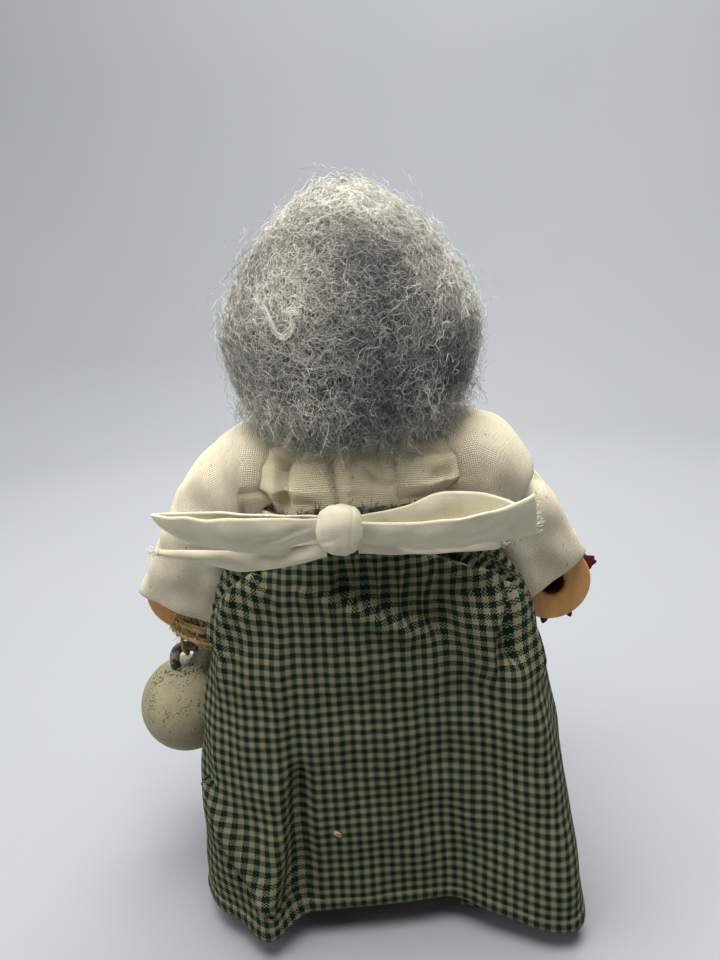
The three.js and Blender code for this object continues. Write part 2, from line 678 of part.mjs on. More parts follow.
// Rings of a sleeve between its outer and inner lines, drawn in by an inset.
function sleeveRings(arm, stations, inset) {
  const toPoint = ([x, z]) => new THREE.Vector3(sleevePlane + x, 0, SHOULDER_HEIGHT + z);
  const outerLine = [[0, SLEEVE_TOP], ...arm.outer, cuffEdge(arm, arm.cuffOuter)];
  const innerLine = [[0, ARMPIT], ...arm.inner, cuffEdge(arm, arm.cuffInner)];
  const outer = new THREE.CatmullRomCurve3(outerLine.map(toPoint));
  const inner = new THREE.CatmullRomCurve3(innerLine.map(toPoint));
  return stations.map((s) => {
    const top = outer.getPoint(s);
    const low = inner.getPoint(s);
    const middle = top.clone().add(low).multiplyScalar(0.5);
    const half = top.clone().sub(low).multiplyScalar(0.5);
    const width = half.length() - inset;
    const depth = depthAt(s) - inset;
    half.normalize();
    const power = THREE.MathUtils.lerp(2, CUFF_SQUARENESS, s ** 2);
    return Array.from({ length: SLEEVE_SIDES }, (_, i) => {
      const angle = (2 * Math.PI * i) / SLEEVE_SIDES;
      const squared = (v) => Math.sign(v) * Math.abs(v) ** (2 / power);
      const [c, d] = [squared(Math.cos(angle)), squared(Math.sin(angle))];
      return new THREE.Vector3(
        arm.side * (middle.x + half.x * width * c),
        HAND_Y * s + depth * d,
        middle.z + half.z * width * c,
      );
    });
  });
}

// Half depth of the sleeve front to back, from the shoulder to the cuff.
function depthAt(s) {
  const depths = [...SLEEVE_DEPTHS, HAND_THICKNESS / 2 + CUFF_SPACE];
  const after = Math.max(1, SLEEVE_STATIONS.findIndex((station) => station >= s));
  const [a, b] = [SLEEVE_STATIONS[after - 1], SLEEVE_STATIONS[after]];
  return THREE.MathUtils.mapLinear(s, a, b, depths[after - 1], depths[after]);
}

// Drilled disc hand about the Y axis, with rounded rim and eased hole.
function handDisc() {
  const half = HAND_THICKNESS / 2;
  const rim = HAND_RADIUS - HAND_ROUND;
  const outline = [
    [HAND_HOLE_RADIUS, HAND_CHAMFER - half],
    [HAND_HOLE_RADIUS + HAND_CHAMFER, -half],
    ...corner(rim, HAND_ROUND - half, HAND_ROUND, -90, 0),
    ...corner(rim, half - HAND_ROUND, HAND_ROUND, 0, 90),
    [HAND_HOLE_RADIUS + HAND_CHAMFER, half],
    [HAND_HOLE_RADIUS, half - HAND_CHAMFER],
    [HAND_HOLE_RADIUS, HAND_CHAMFER - half],
  ].map(([radius, height]) => new THREE.Vector2(radius, height));
  return new THREE.LatheGeometry(outline, ROUND);
}

function buildArm(label, arm) {
  const hand = handMiddle(arm);
  const eyeX = arm.side * (sleevePlane + CLOTH + EYE_WIDTH / 2);
  const eye = new THREE.Vector3(eyeX, 0, SHOULDER_HEIGHT);
  const half = new THREE.Vector3(EYE_WIDTH / 2, 0, 0);
  const toEye = eye.clone().sub(hand).setY(0).normalize();
  const stickEnd = hand.clone().addScaledVector(toEye, HAND_RADIUS - STICK_IN_HAND);
  const rodHole = rodBetween(rodStart, rodEnd, ROD_RADIUS + FIT, OVERCUT);

  const boss = (grow) => rodBetween(eye.clone().sub(half), eye.clone().add(half), EYE_RADIUS + grow, grow);
  const shaft = (grow) => rodBetween(eye, stickEnd, STICK_RADIUS + grow, grow);
  addPiece(`arm_stick_${label}`, boss(0).add(shaft(0)).subtract(rodHole), COLOURS.wood);

  const outerRings = sleeveRings(arm, SLEEVE_STATIONS, 0);
  const innerRings = sleeveRings(arm, SLEEVE_STATIONS, CLOTH);
  addPiece(`sleeve_${label}`, shell(outerRings, innerRings), COLOURS.sleeveCloth);

  const disc = solidFrom(handDisc().translate(hand.x, hand.y, hand.z));
  addPiece(`hand_${label}`, disc.subtract(shaft(FIT)), COLOURS.flesh);

  const clearHand = rodBetween(
    hand.clone().add(new THREE.Vector3(0, -HAND_THICKNESS / 2 - FIT, 0)),
    hand.clone().add(new THREE.Vector3(0, HAND_THICKNESS / 2 + FIT, 0)),
    HAND_RADIUS + FIT,
  );
  const filled = loft(sleeveRings(arm, PADDING_STATIONS, CLOTH + STUFFING_FIT));
  const padding = filled.subtract(boss(FIT)).subtract(shaft(FIT)).subtract(rodHole).subtract(clearHand);
  addPiece(`arm_stuffing_${label}`, padding, COLOURS.stuffing);
}

// Jug about its own axis with the ear turned to one side; the top of its ear is at the hang point.
function buildJug(hangPoint) {
  const bellyFoot = Math.acos(JUG_FOOT_RADIUS / JUG_RADIUS);
  const bellyNeck = Math.acos((JUG_NECK_RADIUS + JUG_NECK_ROUND) / JUG_RADIUS);
  const belly = Array.from({ length: BELLY_STEPS + 1 }, (_, i) => {
    const angle = THREE.MathUtils.lerp(-bellyFoot, bellyNeck, i / BELLY_STEPS);
    return [JUG_RADIUS * Math.cos(angle), JUG_RADIUS * Math.sin(angle)];
  });
  const shoulder = JUG_RADIUS * Math.sin(bellyNeck);
  const body = turned([
    [0, -JUG_RADIUS * Math.sin(bellyFoot)],
    ...belly,
    [JUG_NECK_RADIUS, shoulder + 2 * JUG_NECK_ROUND],
    [JUG_NECK_RADIUS, jugHeight - JUG_LIP_HEIGHT - 2 * JUG_LIP_ROUND],
    [JUG_LIP_RADIUS, jugHeight - JUG_LIP_HEIGHT],
    [JUG_LIP_RADIUS, jugHeight - JUG_LIP_ROUND],
    [JUG_LIP_RADIUS - JUG_LIP_ROUND, jugHeight],
    [JUG_MOUTH_RADIUS, jugHeight],
    [JUG_MOUTH_RADIUS, jugHeight - JUG_MOUTH_DEPTH],
    [0, jugHeight - JUG_MOUTH_DEPTH],
  ]);
  const earFoot = Math.sqrt(JUG_RADIUS ** 2 - EAR_FOOT_REACH ** 2) - EAR_RADIUS;
  const earAt = (reach, share) => new THREE.Vector3(reach, 0, THREE.MathUtils.lerp(earTop, earFoot, share));
  const path = new THREE.CatmullRomCurve3([
    earAt(JUG_NECK_RADIUS - EAR_RADIUS / 2, 0.04),
    earAt(EAR_HANG_REACH, 0),
    earAt(EAR_REACH - EAR_RADIUS / 3, 0.15),
    earAt(EAR_REACH, 0.4),
    earAt((EAR_REACH + EAR_REACH + EAR_FOOT_REACH) / 3, 0.74),
    earAt(EAR_FOOT_REACH, 1),
  ]);
  const round = new THREE.Shape().absarc(0, 0, EAR_RADIUS, 0, 2 * Math.PI);
  const sweep = { steps: EAR_STEPS, curveSegments: EAR_SIDES, extrudePath: path };
  const ear = new THREE.ExtrudeGeometry(round, sweep);
  const frame = new THREE.Group();
  const tilt = THREE.MathUtils.degToRad(JUG_TILT);
  const turn = THREE.MathUtils.degToRad(JUG_TURN);
  frame.rotation.set(0, -tilt, turn, 'YZX');
  const hang = new THREE.Vector3(EAR_HANG_REACH, 0, earTop).applyEuler(frame.rotation);
  frame.position.copy(hangPoint).sub(hang);
  addPiece('jug', body.add(solidFrom(ear)), COLOURS.stoneware, frame);
  doll.add(frame);
}

// Centre line of the twine: turns through the hand's hole and over its rim, one of them down to the jug.
function twinePath(hand, hangPoint) {
  const inHole = HAND_HOLE_RADIUS - FIT - TWINE_RADIUS;
  const overRim = HAND_RADIUS + FIT + TWINE_RADIUS;
  const face = HAND_THICKNESS / 2 + TWINE_RADIUS + TWINE_FACE_GAP;
  const drop = hangPoint.clone().sub(hand);
  const underEar = Math.hypot(drop.x, drop.z) + EAR_RADIUS + FIT + TWINE_RADIUS;
  const earBearing = Math.atan2(drop.x, -drop.z);
  const squared = (v) => Math.sign(v) * Math.sqrt(Math.abs(v));
  const points = [];
  TWINE_TURNS.forEach((turn, k) => {
    const following = TWINE_TURNS[k + 1] ?? { hole: turn.hole };
    for (let i = 0; i < TWINE_LOOP_STEPS; i += 1) {
      const angle = (2 * Math.PI * i) / TWINE_LOOP_STEPS;
      const out = (1 - squared(Math.cos(angle))) / 2;
      const holeBearing = THREE.MathUtils.degToRad(angle < Math.PI ? turn.hole : following.hole);
      const rimBearing = turn.long ? earBearing : THREE.MathUtils.degToRad(turn.rim);
      const bearing = THREE.MathUtils.lerp(holeBearing, rimBearing, Math.min(1, out * TWINE_FAN));
      const reach = THREE.MathUtils.lerp(inHole, turn.long ? underEar : overRim, out);
      points.push(new THREE.Vector3(
        hand.x + reach * Math.sin(bearing),
        hand.y + face * squared(Math.sin(angle)),
        hand.z - reach * Math.cos(bearing),
      ));
    }
  });
  const spare = TWINE_LOOP_STEPS / 4;
  return points.slice(spare, points.length - spare);
}

function buildTwine(hand, hangPoint) {
  const points = twinePath(hand, hangPoint);
  const rings = points.map((point, i) => {
    const before = points[Math.max(i - 1, 0)];
    const after = points[Math.min(i + 1, points.length - 1)];
    const along = after.clone().sub(before).normalize();
    const across = new THREE.Vector3(1, 0, 0).cross(along).normalize();
    const other = along.clone().cross(across);
    return Array.from({ length: TWINE_SIDES }, (_, k) => {
      const angle = (2 * Math.PI * k) / TWINE_SIDES;
      return point.clone()
        .addScaledVector(across, TWINE_RADIUS * Math.cos(angle))
        .addScaledVector(other, TWINE_RADIUS * Math.sin(angle));
    });
  });
  addPiece('twine_tie', loft(rings), COLOURS.twine);
  console.log('twine_tie least gap to itself, mm:', leastGap(points).toFixed(2));
}

// Least gap of a winding to itself, between points at least a third of a loop apart.
function leastGap(points) {
  const apart = TWINE_LOOP_STEPS / 3;
  let least = Infinity;
  for (let i = 0; i < points.length; i += 1) {
    for (let j = i + apart; j < points.length; j += 1) {
      least = Math.min(least, points[i].distanceTo(points[j]));
    }
  }
  return least - 2 * TWINE_RADIUS;
}

// Unsigned angle in degrees between a bearing in radians and one in degrees.
function degreesApart(bearing, degrees) {
  const away = bearing - THREE.MathUtils.degToRad(degrees);
  return Math.abs(THREE.MathUtils.radToDeg(Math.atan2(Math.sin(away), Math.cos(away))));
}

function buildPinkedCloth(hand) {
  const outline = new THREE.Shape();
  for (let i = 0; i < 2 * PINKED_TEETH; i += 1) {
    const bearing = (Math.PI * i) / PINKED_TEETH;
    const lift = PINKED_CORNERS.reduce((most, { bearing: middle, reach }) => {
      const near = degreesApart(bearing, middle) / PINKED_CORNER_SPREAD;
      return Math.max(most, reach * Math.exp(-(near ** 2)));
    }, 0);
    const free = degreesApart(bearing, PINKED_FREE_BEARING) < PINKED_FREE_HALF_ANGLE;
    const beyond = free ? PINKED_BEYOND_HAND + lift : -PINKED_TUCK;
    const radius = HAND_RADIUS + beyond - (i % 2) * PINKED_TOOTH;
    const method = i === 0 ? 'moveTo' : 'lineTo';
    outline[method](-radius * Math.cos(bearing), radius * Math.sin(bearing));
  }
  outline.closePath();
  const cloth = new THREE.ExtrudeGeometry(outline, { depth: PINKED_THICKNESS, bevelEnabled: false });
  cloth.rotateX(Math.PI / 2);
  cloth.translate(hand.x, hand.y - HAND_THICKNESS / 2 - FIT, hand.z);
  addPiece('pinked_cloth', solidFrom(cloth), COLOURS.burgundy);
}

const core = buildFrame();
buildHead();
buildWig();
buildTorso(core);
buildSkirt();
buildSash();
buildBow();
Object.entries(ARMS).forEach(([label, arm]) => buildArm(label, arm));
const jugHand = handMiddle(ARMS.left);
const hangDrop = new THREE.Vector3(EAR_OUT_FROM_HAND, 0, -HAND_RADIUS - EAR_BELOW_HAND);
const hangPoint = jugHand.clone().add(hangDrop);
buildTwine(jugHand, hangPoint);
buildJug(hangPoint);
buildPinkedCloth(handMiddle(ARMS.right));

export default doll;
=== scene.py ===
"""Dresses a small jointed folk doll: wool wig, muslin blouse, checked skirt, bow, jug and twine."""

from __future__ import annotations

import logging
import math
from dataclasses import dataclass, field
from enum import Enum
from typing import Callable, Sequence, Union

import bmesh
import bpy
import numpy as np
from mathutils import Matrix, Vector

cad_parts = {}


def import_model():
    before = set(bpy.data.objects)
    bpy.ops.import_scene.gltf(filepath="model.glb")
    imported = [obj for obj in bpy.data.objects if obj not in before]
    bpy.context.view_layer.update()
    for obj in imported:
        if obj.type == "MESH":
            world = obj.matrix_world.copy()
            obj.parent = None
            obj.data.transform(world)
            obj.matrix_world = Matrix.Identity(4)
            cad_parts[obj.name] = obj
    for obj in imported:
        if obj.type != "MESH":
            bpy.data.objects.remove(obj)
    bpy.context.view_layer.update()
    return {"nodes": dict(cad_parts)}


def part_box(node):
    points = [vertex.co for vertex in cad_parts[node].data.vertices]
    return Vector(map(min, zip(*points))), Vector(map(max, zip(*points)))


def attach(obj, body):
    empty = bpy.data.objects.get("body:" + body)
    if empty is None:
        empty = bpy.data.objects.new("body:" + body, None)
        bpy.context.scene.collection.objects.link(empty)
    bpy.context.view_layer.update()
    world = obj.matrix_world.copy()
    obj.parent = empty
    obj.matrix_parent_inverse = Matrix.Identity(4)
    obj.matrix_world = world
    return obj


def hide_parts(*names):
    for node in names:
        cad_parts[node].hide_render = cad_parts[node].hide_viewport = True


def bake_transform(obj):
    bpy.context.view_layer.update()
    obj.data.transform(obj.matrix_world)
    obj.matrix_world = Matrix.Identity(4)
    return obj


LOG = logging.getLogger("doll")

Array = np.ndarray
Colour = tuple[float, float, float, float]
Line = tuple[tuple[float, ...], ...]
Point = tuple[float, float, float]
Piece = bpy.types.Object
Socket = bpy.types.NodeSocket
Feed = Union[float, Sequence[float], Socket]

MM = 0.001
SEAM_WELD = 0.002 * MM
FULL_TURN = 2.0 * math.pi
BACK = 90.0
FRONT = 270.0
TONE = "tone"
SHORTEST_FLAT_SIDE = 10.0 * MM
HEAD_RADIUS = 27.0
HAND_RADIUS = 13.3
HAND_THICKNESS = 6.0
HAND_HOLE = 4.1
LEFT_HAND = (60.5, -6.0, 101.2)
RIGHT_HAND = (-62.2, -6.0, 97.2)
WAIST = (31.7, 32.6, 28.1, 2.4)


class Body(Enum):
    """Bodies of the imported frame."""

    DOLL = "doll_body"
    HEAD = "head"
    ARM_LEFT = "arm_left"
    ARM_RIGHT = "arm_right"
    TWINE = "twine"
    JUG = "jug"


class Side(Enum):
    """Sides of the doll, by the sign of X."""

    LEFT = 1
    RIGHT = -1

    @property
    def word(self) -> str:
        """The side's name in a node."""
        return self.name.lower()

    @property
    def arm(self) -> Body:
        """The body that carries this side's arm."""
        return Body.ARM_LEFT if self is Side.LEFT else Body.ARM_RIGHT


def paint(red: int, green: int, blue: int) -> Colour:
    """Turns a display colour into the linear colour of a shader.

    Args:
        red: Red, 0 to 255.
        green: Green, 0 to 255.
        blue: Blue, 0 to 255.

    Returns:
        The linear colour with full opacity.
    """
    def linear(value: int) -> float:
        """Linear share of one channel."""
        share = value / 255.0
        return share / 12.92 if share <= 0.04045 else ((share + 0.055) / 1.055) ** 2.4

    return (linear(red), linear(green), linear(blue), 1.0)


def smoothstep(low: float, high: float, value: Array) -> Array:
    """Eases values from 0 at low to 1 at high."""
    share = np.clip((np.asarray(value, float) - low) / (high - low), 0.0, 1.0)
    return share * share * (3.0 - 2.0 * share)


def spline(points: Sequence[Sequence[float]], count: int) -> Array:
    """Draws a smooth curve through points.

    Args:
        points: The points, of any dimension.
        count: Number of samples along the curve.

    Returns:
        The samples, one row each.
    """
    knots = np.asarray(points, float)
    padded = np.vstack([2 * knots[0] - knots[1], knots, 2 * knots[-1] - knots[-2]])
    place = np.linspace(0.0, len(knots) - 1.0, count)
    index = np.minimum(place.astype(int), len(knots) - 2)
    share = (place - index)[:, None]
    before, start, end, after = (padded[index + step] for step in range(4))
    return 0.5 * (2 * start + (end - before) * share
                  + (2 * before - 5 * start + 4 * end - after) * share ** 2
                  + (3 * start - before - 3 * end + after) * share ** 3)


def spaced(low: float, high: float, count: int, dense: Line) -> Array:
    """Spreads numbers unevenly.

    Args:
        low: First number.
        high: Last number.
        count: How many.
        dense: Places where they stand closer together: the place, its width and how much closer.

    Returns:
        The numbers, rising.
    """
    fine = np.linspace(low, high, 2000)
    closer = sum(gain * np.exp(-((fine - place) / width) ** 2) for place, width, gain in dense)
    total = np.cumsum(1.0 + closer)
    return np.interp(np.linspace(total[0], total[-1], count), total, fine)


def ripples(points: Array, wavelength: float, seed: int, waves: int = 9) -> Array:
    """Smooth unevenness of hand-made things, the same on every run.

    Args:
        points: Points in metres, with x, y and z in the last axis.
        wavelength: Usual distance between crests, in metres.
        seed: Chooses the pattern.
        waves: Number of plane waves that are added.

    Returns:
        Values about -1 to 1, one for each point.
    """
    chance = np.random.default_rng(seed)
    directions = unit(chance.normal(size=(waves, 3)))
    numbers = FULL_TURN / wavelength * chance.uniform(0.6, 1.5, waves)
    phases = chance.uniform(0.0, FULL_TURN, waves)
    return np.sin(points @ (directions * numbers[:, None]).T + phases).sum(axis=-1) / math.sqrt(waves)


def unit(vectors: Array) -> Array:
    """Vectors scaled to a length of 1."""
    return vectors / np.maximum(np.linalg.norm(vectors, axis=-1, keepdims=True), 1e-12)


def polar(radius: Array, angle: Array, height: Array) -> Array:
    """Points from their radii, angles in radians and heights."""
    return np.stack(np.broadcast_arrays(radius * np.cos(angle), radius * np.sin(angle), height), axis=-1)


def picked(line: Array, length: Array, places: Array) -> Array:
    """Points of a line at places, by the running length of its own points."""
    return np.stack([np.interp(places, length, line[:, axis]) for axis in range(3)], axis=-1)


def section_radius(bearing: Array, half_width: Array, back: Array, front: Array, power: Array) -> Array:
    """Radius of a body section, an oval that may be squarer than an ellipse.

    Args:
        bearing: Directions in radians, from +X towards the back.
        half_width: Half width of the section.
        back: Depth towards the back.
        front: Depth towards the front.
        power: 2 for an ellipse, more for a squarer section.

    Returns:
        Radii in the unit of the sizes.
    """
    across = np.abs(np.cos(bearing)) / half_width
    along = np.abs(np.sin(bearing)) / np.where(np.sin(bearing) >= 0.0, back, front)
    return (across ** power + along ** power) ** (-1.0 / power)


@dataclass(frozen=True)
class Fold:
    """A fold on a cloth: a line of (x, z) points and its relief, in millimetres.

    Near and far are its widths on the line's left and right, and lap pushes its crest over to the left.
    """

    line: Line
    height: float
    near: float
    far: float
    taper: float = 0.22
    lap: float = 0.0

    SAMPLES = 26

    def relief(self, points: Array) -> Array:
        """How far the fold lifts points of the cloth along their normals, in metres."""
        return self.height * MM * self.weight(points)[0]

    def push(self, points: Array) -> Array:
        """How far the fold moves points of the cloth along (x, z), in metres."""
        weight, left = self.weight(points)
        return self.lap * MM * weight[..., None] * left

    def weight(self, points: Array) -> tuple[Array, Array]:
        """Works out where the fold acts.

        Args:
            points: Points of the cloth in metres.

        Returns:
            The fold's share at each point, and the direction to the line's left there.
        """
        curve = spline(self.line, self.SAMPLES) * MM
        flat = points[..., (0, 2)].reshape(-1, 2)
        best = np.full(len(flat), np.inf)
        side = np.zeros(len(flat))
        along = np.zeros(len(flat))
        left = np.zeros(flat.shape)
        for index, step in enumerate(np.diff(curve, axis=0)):
            offset = flat - curve[index]
            share = np.clip(offset @ step / (step @ step), 0.0, 1.0)
            distance = np.linalg.norm(offset - share[:, None] * step, axis=1)
            closer = distance < best
            best = np.where(closer, distance, best)
            side = np.where(closer, step[0] * offset[:, 1] - step[1] * offset[:, 0], side)
            along = np.where(closer, (index + share) / (self.SAMPLES - 1), along)
            left = np.where(closer[:, None], np.array([-step[1], step[0]]) / np.linalg.norm(step), left)
        width = np.where(side > 0.0, self.near, self.far) * MM
        ends = smoothstep(0.0, self.taper, along) * smoothstep(0.0, self.taper, 1.0 - along)
        weight = (np.exp(-(best / width) ** 2) * ends).reshape(points.shape[:-1])
        return weight * (points[..., 1] > 0.0), left.reshape(points.shape[:-1] + (2,))


class Workshop:
    """Makes meshes and objects: sheets from grids, tubes from paths, turned and placed pieces."""

    @staticmethod
    def mesh_object(name: str, vertices: Array, faces: Sequence[Sequence[int]]) -> Piece:
        """Makes a smooth-shaded object.

        Args:
            name: Name of the object and its mesh.
            vertices: Points in metres.
            faces: Vertex numbers of each face.

        Returns:
            The object, linked to the scene.
        """
        mesh = bpy.data.meshes.new(name)
        mesh.from_pydata(vertices, [], faces)
        mesh.polygons.foreach_set("use_smooth", np.ones(len(mesh.polygons), bool))
        piece = bpy.data.objects.new(name, mesh)
        bpy.context.scene.collection.objects.link(piece)
        return piece

    @staticmethod
    def activate(piece: Piece) -> None:
        """Selects one object alone and makes it the active one."""
        bpy.ops.object.select_all(action="DESELECT")
        piece.select_set(True)
        bpy.context.view_layer.objects.active = piece

    @classmethod
    def apply(cls, piece: Piece, kind: str, **settings: object) -> None:
        """Adds a modifier and applies it.

        Args:
            piece: Object to change.
            kind: Blender's type of the modifier.
            **settings: Values of the modifier's properties.
        """
        cls.activate(piece)
        modifier = piece.modifiers.new(kind.title(), kind)
        for name, value in settings.items():
            setattr(modifier, name, value)
        bpy.ops.object.modifier_apply(modifier=modifier.name)

    @staticmethod
    def grid_normals(points: Array, closed: bool) -> Array:
        """Finds the normals of a grid of points.

        Args:
            points: Grid of points, rows by columns by 3.
            closed: Whether the last column repeats the first.

        Returns:
            Unit normals of the same shape.
        """
        across = np.gradient(points, axis=1)
        if closed:
            join = (points[:, 1] - points[:, -2]) / 2.0
            across[:, 0] = join
            across[:, -1] = join
        return unit(np.cross(across, np.gradient(points, axis=0)))

    @staticmethod
    def running_length(points: Array, axis: int) -> Array:
        """Length along the rows or columns of a grid, from its first point.

        Args:
            points: Grid of points, rows by columns by 3.
            axis: 0 to measure up the columns, 1 to measure along the rows.

        Returns:
            Lengths, rows by columns.
        """
        steps = np.linalg.norm(np.diff(points, axis=axis), axis=-1)
        start = np.zeros_like(np.take(points[..., 0], [0], axis=axis))
        return np.concatenate([start, np.cumsum(steps, axis=axis)], axis=axis)

    @classmethod
    def line_length(cls, line: Array) -> Array:
        """Length along one line of points, from its first point."""
        return cls.running_length(line[None], 1)[0]

    @classmethod
    def places(cls, points: Array) -> Array:
        """Place of each point of a grid on the flat cloth, by lengths along its rows and columns."""
        return np.stack([cls.running_length(points, 1), cls.running_length(points, 0)], axis=-1)

    @staticmethod
    def cloth_area(points: Array) -> float:
        """Area of a grid of points.

        Args:
            points: Grid of points, rows by columns by 3.

        Returns:
            Area in square metres.
        """
        up = points[1:, :-1] - points[:-1, :-1]
        across = points[:-1, 1:] - points[:-1, :-1]
        return float(np.linalg.norm(np.cross(up, across), axis=-1).sum())

    @classmethod
    def sheet(cls, name: str, points: Array, uv: Array, thickness: float, closed: bool = False,
              lining: bool = False) -> Piece:
        """Makes cloth from a grid whose normals point outwards.

        Args:
            name: Name of the object.
            points: Grid of points, rows by columns by 3.
            uv: Place of each point on the flat cloth, in metres.
            thickness: Thickness of the cloth, put on the inside.
            closed: Whether the last column repeats the first.
            lining: Whether the inside takes the second material slot.

        Returns:
            The cloth as a closed mesh.
        """
        rows, columns = points.shape[:2]
        corner = (np.arange(rows - 1)[:, None] * columns + np.arange(columns - 1)).ravel()
        faces = np.stack([corner, corner + 1, corner + columns + 1, corner + columns], axis=1)
        piece = cls.mesh_object(name, points.reshape(-1, 3), faces)
        layer = piece.data.uv_layers.new(name="UVMap")
        numbers = np.empty(len(piece.data.loops), np.int32)
        piece.data.loops.foreach_get("vertex_index", numbers)
        layer.data.foreach_set("uv", uv.reshape(-1, 2)[numbers].astype(np.float32).ravel())
        if closed:
            shape = bmesh.new()
            shape.from_mesh(piece.data)
            bmesh.ops.remove_doubles(shape, verts=shape.verts, dist=SEAM_WELD)
            shape.to_mesh(piece.data)
            shape.free()
        if thickness:
            cls.apply(piece, "SOLIDIFY", thickness=thickness, offset=-1.0,
                      material_offset=1 if lining else 0, material_offset_rim=0)
        return piece

    @classmethod
    def tubes(cls, name: str, paths: Array, radii: Array, sides: int, tones: Array) -> Piece:
        """Makes strands or yarns as closed tubes.

        Args:
            name: Name of the object.
            paths: Paths of equal counts, strands by points by 3.
            radii: Radius at each point, strands by points.
            sides: Number of sides of a tube.
            tones: Shade of each strand, kept in the tone attribute.

        Returns:
            One object with all the tubes.
        """
        strands, count = paths.shape[:2]
        ahead = unit(np.gradient(paths, axis=1))
        first = unit(np.cross(ahead, np.array([0.36, 0.48, 0.8])))
        second = np.cross(ahead, first)
        turn = FULL_TURN * np.arange(sides) / sides
        ring = first[:, :, None] * np.cos(turn)[:, None] + second[:, :, None] * np.sin(turn)[:, None]
        vertices = paths[:, :, None] + ring * radii[:, :, None, None]
        base = (np.arange(strands) * count * sides)[:, None, None]
        level = base + (np.arange(count - 1) * sides)[:, None]
        here = level + np.arange(sides)
        beside = level + (np.arange(sides) + 1) % sides
        walls = np.stack([here, beside, beside + sides, here + sides], axis=-1).reshape(-1, 4)
        ends = (np.arange(strands) * count * sides)[:, None]
        feet = ends + np.arange(sides)[::-1]
        tips = ends + (count - 1) * sides + np.arange(sides)
        faces = walls.tolist() + feet.tolist() + tips.tolist()
        piece = cls.mesh_object(name, vertices.reshape(-1, 3), faces)
        shade = piece.data.attributes.new(TONE, "FLOAT", "POINT")
        shade.data.foreach_set("value", np.repeat(tones, count * sides).astype(np.float32))
        return piece

    @classmethod
    def turned(cls, name: str, profile: Sequence[Sequence[float]], steps: int) -> Piece:
        """Turns a profile round the Z axis, as on a lathe.

        Args:
            name: Name of the object.
            profile: Points of radius and height in metres, from one end of the axis to the other.
            steps: Number of steps in the turn.

        Returns:
            The turned piece at the origin.
        """
        bpy.ops.object.select_all(action="DESELECT")
        piece = cls.mesh_object(name, [(radius, 0.0, height) for radius, height in profile], [])
        piece.data.edges.add(len(profile) - 1)
        for index, edge in enumerate(piece.data.edges):
            edge.vertices = (index, index + 1)
        cls.activate(piece)
        bpy.ops.object.mode_set(mode="EDIT")
        bpy.ops.mesh.select_all(action="SELECT")
        bpy.ops.mesh.spin(steps=steps, angle=FULL_TURN, center=(0, 0, 0), axis=(0, 0, 1))
        bpy.ops.mesh.select_all(action="SELECT")
        bpy.ops.mesh.remove_doubles(threshold=SEAM_WELD)
        bpy.ops.mesh.normals_make_consistent(inside=False)
        bpy.ops.object.mode_set(mode="OBJECT")
        bpy.ops.object.shade_smooth()
        return piece

    @classmethod
    def place(cls, piece: Piece, matrix: Matrix) -> None:
        """Moves a piece and applies its place to its mesh."""
        cls.activate(piece)
        piece.matrix_world = matrix
        bpy.ops.object.transform_apply(location=True, rotation=True, scale=True)

    @staticmethod
    def drop_faces(piece: Piece, unwanted: Array) -> None:
        """Deletes faces of a piece.

        Args:
            piece: Object to change.
            unwanted: One flag for each face.
        """
        shape = bmesh.new()
        shape.from_mesh(piece.data)
        shape.faces.ensure_lookup_table()
        bmesh.ops.delete(shape, geom=[shape.faces[index] for index in np.flatnonzero(unwanted)],
                         context="FACES")
        shape.to_mesh(piece.data)
        shape.free()

    @staticmethod
    def face_middles(piece: Piece) -> Array:
        """Middles of a piece's faces, one row each."""
        middles = np.empty(len(piece.data.polygons) * 3)
        piece.data.polygons.foreach_get("center", middles)
        return middles.reshape(-1, 3)

    @staticmethod
    def dress(piece: Piece, *materials: bpy.types.Material) -> None:
        """Puts materials on a piece, one for each slot."""
        piece.data.materials.clear()
        for material in materials:
            piece.data.materials.append(material)

    @classmethod
    def finish(cls, piece: Piece, slot: str, body: Union[Body, None],
               *materials: bpy.types.Material, node: str = "") -> Piece:
        """Dresses a piece, hides the CAD node that it stands for, hangs it on its body and logs its faces.

        Args:
            piece: The piece.
            slot: Its slot. Not used.
            body: The body that it rides on, or none where it blends.
            *materials: Its materials, one for each slot of the mesh.
            node: CAD node that it stands for, or nothing.

        Returns:
            The piece.
        """
        cls.dress(piece, *materials)
        if node:
            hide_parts(node)
        if body:
            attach(piece, body.value)
        LOG.info("%s: %d faces", piece.name, len(piece.data.polygons))
        return piece

    @classmethod
    def declare(cls, cloth: Piece, points: Array, flat: tuple[float, float], held: str,
                rests_on: str, trims: Sequence[Piece] = (), area: float = 0.0) -> None:
        """Logs the flat size of a piece that is a sheet.

        Args:
            cloth: The piece.
            points: Grid that it was made from.
            flat: Width and length of the flat cloth in metres.
            held: How it is held. Not used.
            rests_on: The piece that it lies on. Not used.
            trims: Pieces sewn to it. Not used.
            area: Its area in square metres, or 0 to measure the grid.
        """
        area = min(area or cls.cloth_area(points), flat[0] * flat[1])
        LOG.info("%s: %.0f by %.0f mm flat", cloth.name, flat[0] / MM, flat[1] / MM)


